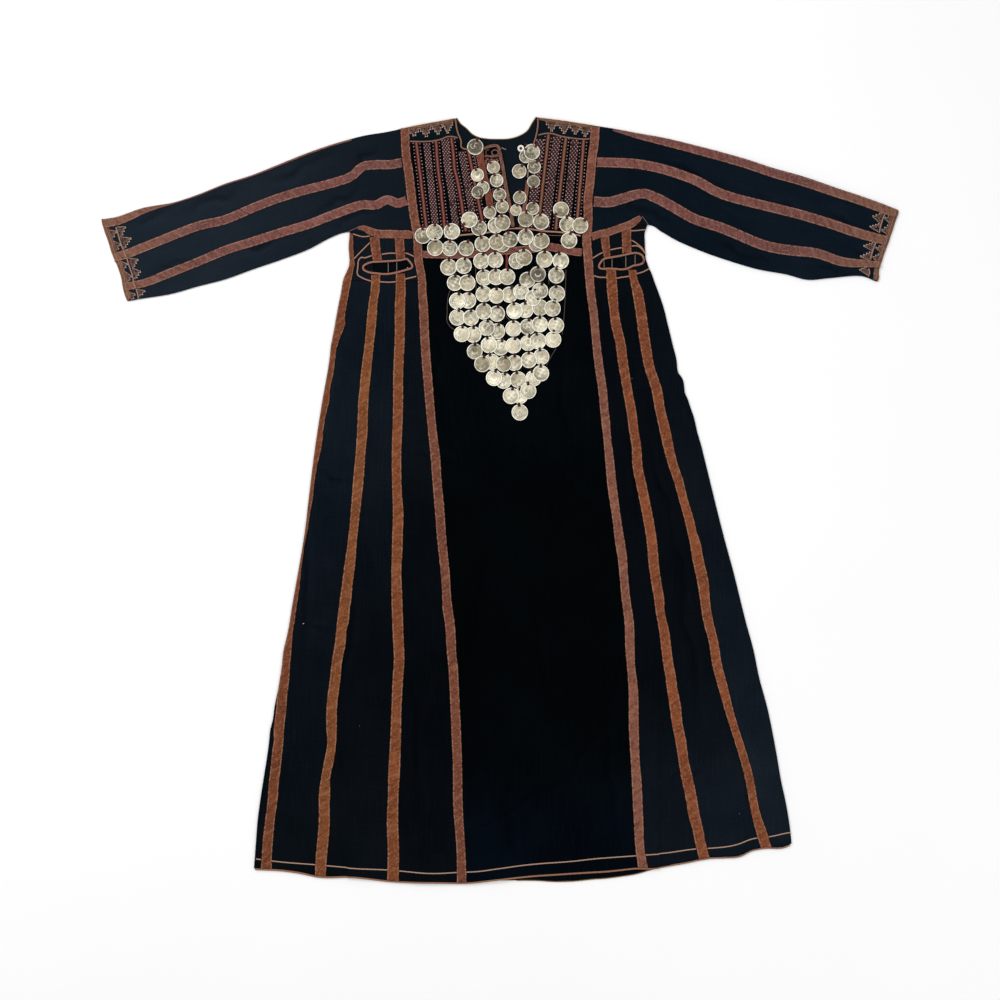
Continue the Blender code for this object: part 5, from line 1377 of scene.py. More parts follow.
BACK_LEVELS = (440, 418, 398, 342, 286, 230, 174, 118, 62, 6, -50, -106, -162, -218, -274, -330,
               -386, -442, -498, -554, -610)
back_left = [(float(left_edge(y)) + BACK_FLAP + SEAM, y) for y in BACK_LEVELS]
back_right = [(float(right_edge(y)) - BACK_FLAP - SEAM, y) for y in BACK_LEVELS[::-1]]
corner_left, corner_right = (float(left_edge(HEM_LEFT_Y)) + BACK_FLAP + SEAM,
                             float(right_edge(HEM_RIGHT_Y)) - BACK_FLAP - SEAM)
back_hem = [(x, float(hem_back(x))) for x in [corner_left]
            + [h.x for h in HEM if corner_left + 5 < h.x < corner_right - 5] + [corner_right]]
BACK_OUTLINE = ([(-79, 694.3), SHOULDER["left"], (-153, 480.5), (-200, 482.6), (-229.4, 483.8)]
                + back_left + back_hem + back_right
                + [(218.6, 492.2), (198, 485.4), (165, 476.4), (158, 475.5), SHOULDER["right"],
                   (66, 696.3)] + list(NECK_BACK[1:-1])[::-1])
register(laid_outline("back_panel_cloth", [BACK_OUTLINE], NAVY_BACK, flat=CLOTH, step=COARSE),
         "back_panel")

LEFT_BOTTOM = [p for p in YOKE_BOTTOM if p[0] < 27]
RIGHT_BOTTOM = [p for p in YOKE_BOTTOM if p[0] > 35][:-1]
YOKE_OUTLINES = {
    "left": [SHOULDER["left"]] + LEFT_BOTTOM + [(26, 491.4)]
            + [(x - 1.0, y - 0.4) for x, y in SLIT_LEFT_EDGE[::-1]] + list(NECK_LEFT_FRONT[::-1]),
    "right": [(34, 492.2)] + RIGHT_BOTTOM + [(157.6, 482), SHOULDER["right"]]
             + list(SLIT_RIGHT_EDGE[:0:-1])}
for side, outline in YOKE_OUTLINES.items():
    register(laid_outline("yoke_%s_cloth" % side, [outline], NAVY_YOKE), "yoke_" + side)

seam_a = seam_curve("a")
UNDERARM = {
    "left": [(-236.0, 484.1), (-236.0, 467.6), (-264.8, 438.8), (-269.6, 435.4)]
            + [(float(seam_a(y)) + SEAM / 2, y) for y in (418.0, 398.3)]
            + [(-142.2, 398.3), (-149.2, 440.0), (-153.2, 480.2), (-160, 480.6), (-200, 482.5)],
    "right": [(235.9, 497.2), (235.9, 473.2), (248.6, 461.8), (260.6, 451.8), (262.2, 440),
              (267.2, 425), (273.0, 410), (277.6, 398.3), (163.5, 398.3), (159.7, 440.0),
              (158.5, 475.2), (165, 476.6), (198, 487.6), (219, 492.7)]}
for side, outline in UNDERARM.items():
    hole = ring_offset(RING[side], -RING_WIDTH / 2)
    cloth = NAVY_SIDE["underarm" if side == "left" else "right_outer"]
    node = "underarm_panel_" + side
    register(laid_outline(node + "_cloth", [outline, hole], cloth, step=4.5), node)
GUSSET_LEFT = ((-270.4, 487.2), (-262, 486.8), (-250, 485.3), (-236.3, 484.1), (-236.3, 468),
               (-265, 439.5), (-269.4, 436))
register(laid_outline("gusset_left_cloth", [GUSSET_LEFT], NAVY_SIDE["underarm"], step=4.0),
         "gusset_left")
sleeve("left", NAVY_SLEEVE_LEFT)
sleeve("right", NAVY_SLEEVE_RIGHT)

# ---------------------------------------------------------------- bands
# Height of each seam band's upper end.
BAND_TOP = {"a": 484.0, "b": 408.6, "c": 410.8, "d": 676.0, "e": 678.0, "f": 417.8, "g": 417.8}
BAND_CLOTH = {"a": RUST[0], "b": RUST[1], "c": RUST[2], "d": ROSE[3], "e": ROSE[1], "f": RUST[3],
              "g": RUST[3]}
ROW_STEP = 3.4              # mm between the rows of points along a seam band
for index, name in enumerate(BAND_EDGES):
    share = np.linspace(-0.5, 0.5, 9)
    low = to_hem(band_left[name], band_right[name], share + 0.5) + 0.6
    y = np.linspace(BAND_TOP[name], 0, int((BAND_TOP[name] - HEM_Y) / ROW_STEP))[:, None]
    run = (BAND_TOP[name] - y) / BAND_TOP[name]
    y = BAND_TOP[name] + (low - BAND_TOP[name]) * run
    fray = 0.35 * noise_1d(y, index + 3, 21.0)
    start, stop = band_left[name](y) - fray, band_right[name](y) + fray
    if name == "a":
        start = np.maximum(start, left_edge(y) + 0.1)
    x = start * (0.5 - share) + stop * (0.5 + share)
    along = BAND_TOP[name] - y[:, 4]
    points, faces, uv = ribbon_grid(x, y, along, share, BAND_LIFT, BAND, index)
    register(make_object("seam_band_%s_cloth" % name, points, faces, BAND_CLOTH[name], uv),
             "seam_band_" + name)


def band_piece(name, routes, material, **settings):
    """Sewn-on bands, one along each route, in one object."""
    return gathered(name, material, [ribbon(points, seed=len(name) + i * 3, **settings)
                                     for i, points in enumerate(routes)])


SLEEVE_BAND_WIDER = 1.12    # the cloth spreads a little past the solid it lies on
for index, (name, points) in enumerate(STRIPS.items()):
    cloth = SLEEVE_ROSE[index % 2] if "sleeve" in name else ROSE[2 if name == "yoke_band" else 0]
    if "sleeve" in name:
        points = [(x, y, wide * SLEEVE_BAND_WIDER) for x, y, wide in points]
    register(band_piece(name + "_cloth", [points], cloth), name)
for side, routes in ARMHOLE_STRIPS.items():
    node = "armhole_band_" + side
    register(band_piece(node + "_cloth", routes[:1], ROSE[side == "left"], lift=0.5), node)
    register(band_piece(node + "_stubs", routes[1:], STUB_CLOTH, wall=0.75))
register(laid_outline("placket_cloth", [PLACKET], NAVY_YOKE, lift=STACK, wall=BAND, step=3.2),
         "placket")


# ---------------------------------------------------------------- bindings and cords
for side in SIDES:
    register(gathered("slit_binding_" + side, PIPING, [
        cord(RING[side], 1.75, closed=True, lift=0.35, flat=0.55, sides=10, seed=5, sink=0.1),
        cord(ring_offset(RING[side], 1.2), 0.5, closed=True, lift=1.0, seed=9)]),
        "slit_ring_" + side)

hem_x = np.linspace(float(left_edge(HEM_LEFT_Y)) + 2.0, float(right_edge(HEM_RIGHT_Y)) - 2.0, 520)
hem_line = np.column_stack([hem_x, hem_front(hem_x) - 1.6,
                            np.maximum(surface(hem_x, hem_front(hem_x)) - 0.75, 1.75)
                            + 0.12 * noise_1d(hem_x, 4, 13.0)])
hem_thinner = 0.5 * np.clip((hem_x - 235.0) / 60.0, 0, 1)       # towards the right corner
hem_radius = 1.72 - hem_thinner + 0.14 * noise_1d(hem_x, 8, 9.0)
register(gathered("hem_binding_roll", BINDING, [tube(hem_line, hem_radius, 8, flat=0.8)]),
         "hem_binding")

edge_x = np.linspace(30.0, 292.0, 170)
edge_line = np.column_stack([edge_x, hem_back(edge_x) - 0.8, np.full(len(edge_x), 0.95)])
register(gathered("back_hem_roll", CUFF_ROLL, [tube(edge_line, 0.95, 7, flat=0.95)]))


def cuff_loop(side):
    """Line of the binding round the cuff's edge: along the upper layer, back along the lower."""
    row = SLEEVES[side][0]
    length = math.hypot(row.bottom_x - row.top_x, row.bottom_y - row.top_y)
    bend = [(0.6 * (1 - math.cos(a)) / length, FOLD_R + 0.8 * math.sin(a))
            for a in half_turn(4)[1:-1]]
    stops = [(share, TOP_Z - 0.5) for share in np.linspace(0.02, 0.98, 80)]
    stops += [(1.0 - share, z) for share, z in bend]
    stops += [(share, 0.62) for share in np.linspace(0.98, 0.02, 36)] + bend[::-1]
    away = np.array((1.3 * SIDES[side], 0.3))
    return np.array([(*(cuff_spot(side, share) + away), z) for share, z in stops])


for side in SIDES:
    register(gathered("cuff_roll_" + side, CUFF_ROLL, [
        tube(cuff_loop(side), 1.45, 8, closed=True, flat=0.42)]), "cuff_binding_" + side)

# Brown strips turned over the cuffs' edges: share down the cuff, width.
CUFF_FACING = {"left": ((0.02, 8.0), (0.3, 8.0), (0.6, 8.0), (0.98, 8.0)),
               "right": ((0.02, 9.0), (0.16, 8.0), (0.4, 7.0), (0.7, 7.0), (0.98, 8.0))}
for side, table in CUFF_FACING.items():
    line = []
    for share in np.linspace(0.02, 0.98, 30):
        width = float(smooth(*zip(*table))(share))
        line.append((*(cuff_spot(side, share) + (-SIDES[side] * (width / 2 - 0.2), 0.0)), width))
    register(band_piece("cuff_facing_" + side, [line], CUFF_CLOTH, lift=0.02, wall=0.26, columns=7,
                        edge=0.12, pucker=0.1))

# Tan cords couched on the cloth: points along each; bands cover some stretches.
CORDS = {
    "yoke_top": (((-163, 651.5), (-140, 651), (-120, 652.5), (-105, 656), (-97, 659.5),
                  (-85, 660), (-77, 658)),
                 ((70, 663), (84, 666), (95, 665.5), (110, 661), (130, 657.5), (150, 655.5),
                  (163, 656))),
    "neck": (((-81, 692), (-79, 677), (-76.5, 667), (-71, 653), (-69.5, 640), (-61, 637),
              (-45, 636.4), (-34, 637)),
             ((69, 693), (69, 682), (66, 663), (62, 649), (58.6, 634), (55, 618), (52, 600),
              (50, 586))),
    "yoke_low": (((-101, 477.5), (-74, 480.6), (-22, 485.8), (17, 493), (48, 492.6), (84.5, 488),
                  (112, 486), (147, 480)),),
    "gusset": (((-270, 484), (-247, 478), (-237, 479.5)), ((-237, 467), (-252, 452), (-268, 435.5)),
               ((229, 489), (245, 489), (264, 491)),
               ((237, 473), (250, 465), (258, 458), (263, 450))),
    "pocket": (((-154, 441), (-171, 448), (-190, 448), (-200, 448), (-215, 446), (-235, 443),
                (-247, 439.5), (-254, 440), (-257, 435), (-258.6, 422), (-259, 409), (-250, 403),
                (-237, 398), (-218, 396), (-191, 396), (-172, 401), (-152, 406)),
               ((163, 436), (170, 440), (184, 448), (201, 454), (221, 458), (240, 461), (251, 461),
                (258, 456), (264, 448)),
               ((164, 409), (171, 407), (180, 404.5), (193, 404), (210, 402), (220, 404),
                (234, 406), (250, 411), (260, 414), (271, 420))),
    "cuff": (((-698.4, 495.1), (-693.9, 480.3), (-690.5, 467.7), (-685.3, 454.1), (-679.1, 439.3),
              (-674.5, 424.5), (-668.9, 408.6), (-666.0, 393.8), (-660.9, 380.2), (-657.5, 365.4)),
             ((700.1, 519.7), (696.2, 510), (692.2, 496.4), (689.9, 485)),
             ((683.6, 466.8), (678, 453.1), (673.4, 433.8)),
             ((670.6, 420.2), (672.3, 412.2), (670, 405.9)))}
CORD_RADIUS = {"yoke_top": 1.3, "neck": 1.35, "yoke_low": 1.45, "gusset": 1.1, "pocket": 1.2,
               "cuff": 1.25}


def near_line(x, y, line, reach):
    """True within reach of a line."""
    line = route([p[:2] for p in line], 4.0)
    gap = np.hypot(np.asarray(x)[..., None] - line[:, 0], np.asarray(y)[..., None] - line[:, 1])
    return gap.min(-1) < reach


def under_band(x, y):
    """True where a seam band, a sleeve band or an armhole band covers the cloth."""
    covered = np.zeros(np.shape(x), bool)
    for name in BAND_EDGES:
        across = (x > band_left[name](y) + 0.4) & (x < band_right[name](y) - 0.4)
        covered |= across & (y < BAND_TOP[name])
    for line in [*STRIPS.values(), *ARMHOLE_STRIPS["left"], *ARMHOLE_STRIPS["right"]]:
        covered |= near_line(x, y, line, float(np.mean([p[2] for p in line])) / 2 - 0.3)
    return covered


def open_runs(points, step=1.5):
    """The stretches of a line that no band covers, and those that lie where a band is."""
    spots = route(points, step)
    hidden = under_band(spots[:, 0], spots[:, 1])
    runs = {False: [[]], True: [[]]}
    for i, spot in enumerate(spots):
        if i and hidden[i] != hidden[i - 1]:
            runs[bool(hidden[i])].append([])
        runs[bool(hidden[i])][-1].append(tuple(spot))
    return [[r[:1] + r[1:-1:4] + r[-1:] for r in runs[key] if len(r) > 4] for key in (False, True)]


# Each group of cords: its piece's name, its thread and the lines that go into it.
CORD_GROUPS = {"tan_cords": (CORD, ("gusset", "pocket", "yoke_low")),
               "cuff_cords": (CUFF_CORD, ("cuff",)), "hem_cord": (HEM_THREAD, ("hem",)),
               "yoke_cords": (YOKE_CORD, ("yoke_top", "neck"))}
hem_run = np.append(np.arange(-444.0, 524.0, 8.0), 529.0)
CORDS["hem"] = (np.column_stack([hem_run, smooth(*zip(*HEM_CORD))(hem_run)]),)
CORD_RADIUS["hem"] = 1.05
for piece_name, (material, groups) in CORD_GROUPS.items():
    shapes = []
    for name in [name for name in CORDS if name in groups]:
        for i, line in enumerate(CORDS[name]):
            whole = name in ("yoke_top", "neck", "yoke_low")
            shown, over = ([line], []) if whole else open_runs(line)
            settings = {"seed": i + len(name), "flat": 0.42 if name == "yoke_low" else 1.0}
            shapes += [cord(run, CORD_RADIUS[name], **settings) for run in shown]
            if name == "cuff" and i == 0:
                shapes += [cord(run, CORD_RADIUS[name], lift=STACK, **settings) for run in over]
    for side in SIDES if piece_name == "cuff_cords" else ():
        inner = [tuple(cuff_spot(side, share) - (3.3 * SIDES[side], 0.0))
                 for share in np.linspace(0.03, 0.97, 24)]
        for lift, runs in zip((0.3, STACK), open_runs(inner)):
            shapes += [cord(run, 0.5, seed=7, lift=lift) for run in runs]
    register(gathered(piece_name, material, shapes))

# Rows of hand stitches along both edges of the bands.
stitch_dice = random.Random(3)


def edge_stitches(line, inset, pitch=4.3, lift=STACK + 0.1):
    """Small stitches beside a line of points (x, y, width of the band)."""
    made = []
    spots = route(line, pitch)
    along = np.gradient(spots[:, :2], axis=0)
    along /= np.linalg.norm(along, axis=1)[:, None]
    for (x, y, width), (ux, uy) in zip(spots, along):
        for side in (-1, 1):
            if stitch_dice.random() < 0.16:
                continue
            reach = side * (width / 2 - inset + stitch_dice.uniform(-0.25, 0.25))
            slip = stitch_dice.uniform(-0.6, 0.6)
            made.append(Stitch(x - uy * reach + ux * slip, y + ux * reach + uy * slip,
                               ux * 1.15, uy * 1.15, 1.0, 0.35, lift,
                               stitch_dice.uniform(0.0, 0.9)))
    return made


for name in BAND_EDGES:
    low = float(np.max(to_hem(band_left[name], band_right[name], np.array((0.0, 1.0))))) + 3.0
    line = []
    for y in np.append(np.arange(BAND_TOP[name] - 2.0, low + 8.0, -12.0), low):
        left, right = band_left[name](y), band_right[name](y)
        line.append(((left + right) / 2, y, right - left))
    register(sew("band_%s_stitches" % name, edge_stitches(line, 1.9), EDGE_STITCH))
sleeve_stitches = []
for name, line in STRIPS.items():
    if "sleeve" in name:
        wide = [(x, y, w * SLEEVE_BAND_WIDER) for x, y, w in line if w > 6]
        sleeve_stitches += edge_stitches(wide, 1.7)
register(sew("sleeve_band_stitches", sleeve_stitches, EDGE_STITCH))
body_stitches = edge_stitches(STRIPS["yoke_band"], 1.6)
for line in ARMHOLE_STRIPS["left"] + ARMHOLE_STRIPS["right"]:
    body_stitches += edge_stitches(line, 1.8)
register(sew("body_band_stitches", body_stitches, EDGE_STITCH))


# ---------------------------------------------------------------- coins
COIN_RINGS = (0.0, 0.12, 0.2, 0.3, 0.4, 0.5, 0.6, 0.68, 0.74, 0.8, 0.84, 0.88, 0.92, 0.96, 0.985,
              1.0)
COIN_STEPS, HOLE_STEPS = 40, 10
HOLE_REACH, HOLE_RADIUS = 0.79, 0.085      # shares of the coin's radius
KINDS = 6                   # designs of coins
RELIEF = 0.24               # mm, about the height of the ornament


def ease(value, low, high):
    """0 below the low end, 1 above the high one, smooth between."""
    t = np.clip((value - low) / (high - low), 0.0, 1.0)
    return t * t * (3 - 2 * t)


# Curved strokes of the scrolled coins: centre x, y, radius, start and end angle (degrees).
SCROLLS = ((0.05, 0.28, 0.30, 20, 210), (-0.22, -0.05, 0.24, 150, 400),
           (0.25, -0.12, 0.28, -60, 150), (0.0, -0.30, 0.34, 170, 330), (-0.05, 0.05, 0.12, 0, 300))


def stroke(x, y, scroll):
    """1 on a curved stroke of the coin's ornament, 0 away from it."""
    cx, cy, reach, start, stop = scroll
    turn = (np.degrees(np.arctan2(y - cy, x - cx)) - start) % 360
    on = ease(turn, -1, 12) * (1 - ease(turn, stop - start - 12, stop - start + 1))
    return on * np.exp(-((np.hypot(x - cx, y - cy) - reach) / 0.055) ** 2)


def coin_relief(kind, r, angle):
    """Raised ornament of a coin's face in mm; worn generic designs."""
    x, y = r * np.cos(angle), r * np.sin(angle)
    field = ease(r, 0.86, 0.92) * 0.26 - ease(r, 0.97, 1.0) * 0.2
    ring = np.exp(-((r - 0.74) / 0.035) ** 2) * 0.14
    worn = 0.45 + 0.55 * np.sin(2.3 * x + 1.9 * kind + 0.6) * np.sin(2.7 * y - 1.3 * kind + 0.4)
    worn = np.clip(worn + 0.3, 0.1, 1.0)
    if kind == 0:
        petals = (0.5 + 0.5 * np.cos(7 * angle + 5 * r)) ** 1.5
        figure = 0.13 * ease(r, 0.1, 0.2) * (1 - ease(r, 0.42, 0.55)) * petals
        figure = figure + 0.1 * stroke(x, y, SCROLLS[3])
    elif kind == 1:
        figure = 0.20 * sum(stroke(x, y, scroll) for scroll in SCROLLS)
    elif kind == 2:
        figure = np.exp(-((r - 0.56) / 0.08) ** 2) * 0.18 * (0.5 + 0.5 * np.cos(13 * angle + 5 * r))
        figure = figure + 0.14 * stroke(x, y, SCROLLS[0]) + 0.12 * stroke(y, -x, SCROLLS[1])
    elif kind == 3:
        figure = 0.09 * (1 + np.sin(9 * x + 2 * y + 1.0) * np.sin(8 * y - 3 * x + 2.2)) * (
            1 - ease(r, 0.55, 0.72))
    elif kind == 4:
        disc = 1 - ease(np.hypot(x + 0.05, y), 0.38, 0.45)
        crescent = disc * ease(np.hypot(x - 0.12, y), 0.26, 0.33)
        figure = 0.13 * crescent + 0.12 * np.exp(-((r - 0.6) / 0.04) ** 2)
    else:
        figure = 0.19 * (stroke(x * 1.3, -y, SCROLLS[1]) + stroke(-x, y * 1.2, SCROLLS[2])
                         + stroke(y, x, SCROLLS[3])) + 0.08 * np.sin(7 * x) * np.sin(6 * y + 1)
    return field + worn * (figure + ring * (1.0 if kind % 2 == 0 else 0.4))


def ring_angles(count):
    return np.arange(count) * 2 * np.pi / count


def coin_form(kind):
    """Coin of radius 1 and real thickness, its hole drilled through: points (x, y by radius;
    z in mm), faces and how dark each point is painted, as painted shade and light of the relief."""
    angle = ring_angles(COIN_STEPS)
    centre_relief = float(coin_relief(kind, np.zeros(1), np.zeros(1))[0])
    points, faces = [(0.0, 0.0, COIN / 2 + centre_relief)], []
    rings = [(r, COIN / 2 + coin_relief(kind, np.full(COIN_STEPS, r), angle))
             for r in COIN_RINGS[1:]]
    for r, z in rings + [(1.0, -COIN / 2 + 0.2), (0.97, -COIN / 2)]:
        points += list(zip(r * np.cos(angle), r * np.sin(angle), np.broadcast_to(z, COIN_STEPS)))
    for c in range(COIN_STEPS):
        d = (c + 1) % COIN_STEPS
        faces.append((0, 1 + c, 1 + d))
        for ring in range(len(COIN_RINGS)):
            a = 1 + ring * COIN_STEPS
            faces.append((a + c, a + COIN_STEPS + c, a + COIN_STEPS + d, a + d))
    last = 1 + len(COIN_RINGS) * COIN_STEPS
    faces.append(tuple(last + c for c in range(COIN_STEPS - 1, -1, -1)))
    drill_points = [(HOLE_REACH + HOLE_RADIUS * math.cos(a), HOLE_RADIUS * math.sin(a), z)
                    for z in (-3.0, 3.0) for a in ring_angles(HOLE_STEPS)]
    drill_faces = [(i, (i + 1) % HOLE_STEPS, HOLE_STEPS + (i + 1) % HOLE_STEPS, HOLE_STEPS + i)
                   for i in range(HOLE_STEPS)]
    drill_faces += [tuple(range(HOLE_STEPS))[::-1], tuple(range(HOLE_STEPS, 2 * HOLE_STEPS))]
    solids = []
    for name, at, sides in (("coin_form", points, faces),
                            ("coin_drill", drill_points, drill_faces)):
        mesh = bpy.data.meshes.new(name)
        mesh.from_pydata(at, [], sides)
        solids.append(bpy.data.objects.new(name, mesh))
        bpy.context.scene.collection.objects.link(solids[-1])
    body, drill = solids
    cut = body.modifiers.new("hole", "BOOLEAN")
    cut.operation, cut.solver, cut.object = "DIFFERENCE", "EXACT", drill
    drilled = body.evaluated_get(bpy.context.evaluated_depsgraph_get())
    made = bpy.data.meshes.new_from_object(drilled)
    points = np.array([tuple(v.co) for v in made.vertices])
    faces = [tuple(p.vertices) for p in made.polygons]
    # Painted shade of the relief: darker in its hollows, lighter on its raised ornament.
    reach = np.hypot(points[:, 0], points[:, 1])
    raised = (points[:, 2] - COIN / 2) / RELIEF
    depth = np.where((points[:, 2] > 0) & (reach < 0.8), 0.55 - raised, 0.15)
    for obj in solids:
        bpy.data.objects.remove(obj, do_unlink=True)
    return points, faces, np.clip(depth, -0.5, 0.6)


COIN_GAP = 0.24             # between a coin and one that lies on it
STEEPEST = 0.35             # slope of a coin at most
CLOTH_GAP, TRIM_EXTRA = 0.25, 0.35      # room for the cloth's ripples, and a band's rolled edge


class Coin:
    """A coin at rest on the cloth and on the coins strung before it."""
    placed = []
    AROUND = ring_angles(24)

    def __init__(self, x, y, diameter):
        self.x, self.y, self.radius = x, y, diameter / 2.0
        self.plane = (0.0, 0.0, 0.0)

    def height(self, x, y):
        return self.plane[0] + self.plane[1] * (x - self.x) + self.plane[2] * (y - self.y)

    def settle(self):
        """Rest on three of the points below the coin: of the planes through three of them that
        clear the rest, the one that is lowest at the coin's centre."""
        rim = np.stack([np.cos(self.AROUND), np.sin(self.AROUND)], 1)
        dx, dy = (np.concatenate([rim, 0.55 * rim[::2]]) * self.radius).T
        x, y = self.x + dx, self.y + dy
        need = np.maximum(ground(x, y), under(x, y) + COIN_GAP / 2)
        index = np.arange(len(dx))
        i, j, k = (g.ravel() for g in np.meshgrid(index, index, index, indexing="ij"))
        keep = (i < j) & (j < k)
        i, j, k = i[keep], j[keep], k[keep]
        ax, ay, az = dx[j] - dx[i], dy[j] - dy[i], need[j] - need[i]
        bx, by, bz = dx[k] - dx[i], dy[k] - dy[i], need[k] - need[i]
        turn = ax * by - ay * bx
        good = np.abs(turn) > 1e-6
        sx = np.where(good, (az * by - ay * bz) / np.where(good, turn, 1), 0)
        sy = np.where(good, (ax * bz - az * bx) / np.where(good, turn, 1), 0)
        centre = need[i] - sx * dx[i] - sy * dy[i]
        clear = (centre[:, None] + sx[:, None] * dx + sy[:, None] * dy - need > -1e-4).all(1) & good
        clear &= np.hypot(sx, sy) < STEEPEST
        self.plane = (float(need.max()), 0.0, 0.0)
        if clear.any():
            at = np.where(clear)[0][np.argmin(centre[clear])]
            self.plane = (float(centre[at]), float(sx[at]), float(sy[at]))
        Coin.placed.append(self)


def under(x, y):
    """Top of the coins already lying at these places, or far below where there are none."""
    top = np.full(np.shape(x), -99.0)
    for coin in Coin.placed:
        inside = np.hypot(x - coin.x, y - coin.y) < coin.radius
        top = np.where(inside, np.maximum(top, coin.height(x, y) + COIN + COIN_GAP), top)
    return top


def ground(x, y):
    """Upper face of the cloth, bands and placket together."""
    on = (near_line(x, y, STRIPS["yoke_band"], 7.4)
          | near_line(x, y, STRIPS["front_edge_right"], 3.6)
          | inside_loops(np.asarray(x), np.asarray(y), [PLACKET]))
    extra = np.where(on, STACK + TRIM_EXTRA, 0.0)
    extra = np.where(near_line(x, y, CORDS["yoke_low"][0], 1.7), np.maximum(extra, 1.1), extra)
    for name in "de":
        on = (x > band_left[name](y)) & (x < band_right[name](y))
        extra = np.where(on, STACK + TRIM_EXTRA, extra)
    return surface(x, y) + extra + CLOTH_GAP


# Rows that are brighter (below 0) or duller than the rest.
ROW_TONE = {"coins_placket_left": 0.32, "coins_placket": 0.32, "coins_front_right": 0.32,
            "coins_yoke_right": 0.29, "coins_chest_left": 0.22, "coins_chest_middle": 0.24,
            "coins_chest_right": 0.22, "coins_band_left": 0.23, "coins_band_middle": 0.22,
            "coins_bib_row_1": 0.08, "coins_bib_row_2": 0.09, "coins_bib_row_3": 0.0,
            "coins_bib_row_4": -0.08, "coins_bib_row_5": -0.10, "coins_bib_row_6": -0.11,
            "coins_bib_row_7": -0.11, "coins_bib_row_8": -0.15, "coins_bib_tip": -0.20}
dice = random.Random(11)
FORMS = [coin_form(kind) for kind in range(KINDS)]
coin_rows, coin_order = {}, []
for level in (0, 1, 2):
    for name, (row_level, row) in COIN_ROWS.items():
        if row_level == level:
            over = COIN_OVER.get(name, ())
            depth = {i: 0 for i in range(len(row))}
            for _ in row:
                for top, low in over:
                    depth[top] = max(depth[top], depth[low] + 1)
            coin_order += [(name, i) for i in sorted(depth, key=lambda i: depth[i])]
for name, i in coin_order:
    coin = Coin(*COIN_ROWS[name][1][i])
    coin.settle()
    coin.hole = math.radians(HOLE_ANGLE.get((name, i), 90 + dice.uniform(-16, 16)))
    coin.tone = DULL.get((name, i), dice.uniform(-0.17, 0.19) + ROW_TONE.get(name, 0.0))
    coin.form = 1 if coin.tone > 0.6 else dice.randrange(KINDS)
    coin.glint = (dice.uniform(0, 6.283), dice.uniform(0.3, 0.8), dice.uniform(0.1, 0.4))
    coin_rows.setdefault(name, {})[i] = coin
for name, row in coin_rows.items():
    parts, relief_shade_and_glint = Pieces(), []
    for coin in row.values():
        points, faces, depth = FORMS[coin.form]
        turn_c, turn_s = math.cos(coin.hole), math.sin(coin.hole)
        x = (points[:, 0] * turn_c - points[:, 1] * turn_s) * coin.radius
        y = (points[:, 0] * turn_s + points[:, 1] * turn_c) * coin.radius
        z = coin.height(coin.x + x, coin.y + y) + points[:, 2] + COIN / 2
        parts.add(np.column_stack([coin.x + x, coin.y + y, z]), faces, points[:, :2], coin.tone)
        # Each coin's painted highlight (its glint) and painted shade on the side away from it.
        turn, reach, strength = coin.glint
        spot = (reach * math.cos(turn), reach * math.sin(turn))
        gap = np.hypot(points[:, 0] - spot[0], points[:, 1] - spot[1])
        depth = (depth - 0.3) * 2.2 + 0.3 if coin.tone > 0.55 else depth
        relief_shade_and_glint.append(depth - strength * np.exp(-(gap / 0.7) ** 2) + 0.25 * ease(gap, 0.9, 1.6))
    piece = parts.build(name + "_struck", SILVER)
    shading = piece.data.attributes.new("depth", "FLOAT", "POINT")
    shading.data.foreach_set("value", np.concatenate(relief_shade_and_glint).astype(np.float32))
    register(piece, name)

# Threads: each coin hangs by a few strands from its hole over its rim.
coin_ties = Pieces()
TIE = ((HOLE_REACH - 0.09, 0.0), (HOLE_REACH - 0.03, 0.7), (0.88, 1.0), (0.96, 0.95), (1.02, 0.7),
       (1.10, 0.4), (1.20, 0.2))
for name, row in coin_rows.items():
    for coin in row.values():
        out = np.array((math.cos(coin.hole), math.sin(coin.hole)))
        side = np.array((-out[1], out[0]))
        lean = dice.uniform(-0.12, 0.12)
        for strand in range(5):
            spread = (strand - 2) * 0.92 + dice.uniform(-0.25, 0.25)
            line = []
            for reach, rise in TIE:
                spot = np.array((coin.x, coin.y)) + out * reach * coin.radius
                bunch = 1.0 - 0.4 * ease(reach, 1.0, 1.2)
                spot = spot + side * (spread * bunch + lean * (reach - HOLE_REACH) * coin.radius)
                base = (coin.height(*spot) + COIN + 0.16) if reach < 1.0 else float(
                    np.maximum(ground(*spot), under(*spot)))
                line.append((*spot, base + rise * 0.6))
            coin_ties.add(*tube(route(line, 1.2), 0.7, 5),
                          tone=dice.uniform(0.0, 0.4) + (0.6 if coin.y < 450 else 0.0))
register(coin_ties.build("coin_ties", RED_THREAD))

# Narrow couched threads round the coin field.
FIELD_THREADS = (
    ((-91, 380), (-94, 371), (-95.6, 360), (-96, 340), (-96.2, 324), (-92, 316), (-83, 308.6),
     (-72, 297), (-62, 285)), ((-44.6, 424), (-43.6, 400), (-43.4, 379)),
    ((57, 418), (55, 392)), ((11, 334), (18, 326)), ((89, 421), (89, 392)), ((89, 330), (89, 316)),
    ((120, 418), (118, 355), (116, 327), (113, 301)), ((102, 275), (93, 260), (84, 243)))
register(gathered("field_threads", BROWN_THREAD, [
    cord(line, 0.6, seed=i, sides=5) for i, line in enumerate(FIELD_THREADS)]))
register(gathered("red_threads", RED_CORD, [
    *(cord(((12 + offset, 455), (12.4 + offset, 438), (12 + offset, 420)), 0.62,
           seed=int(offset * 10), lift=0.2) for offset in (-1.1, 0.1, 1.2)),
    cord(((45, 646.4), (50, 645.6), (53, 642)), 0.6, seed=3),
    cord(((259.8, 437.6), (261.4, 433.4), (261.2, 430)), 0.8, seed=4, lift=1.6)]))

# ---------------------------------------------------------------- button
BUTTON_Z = CLOTH + SEAM
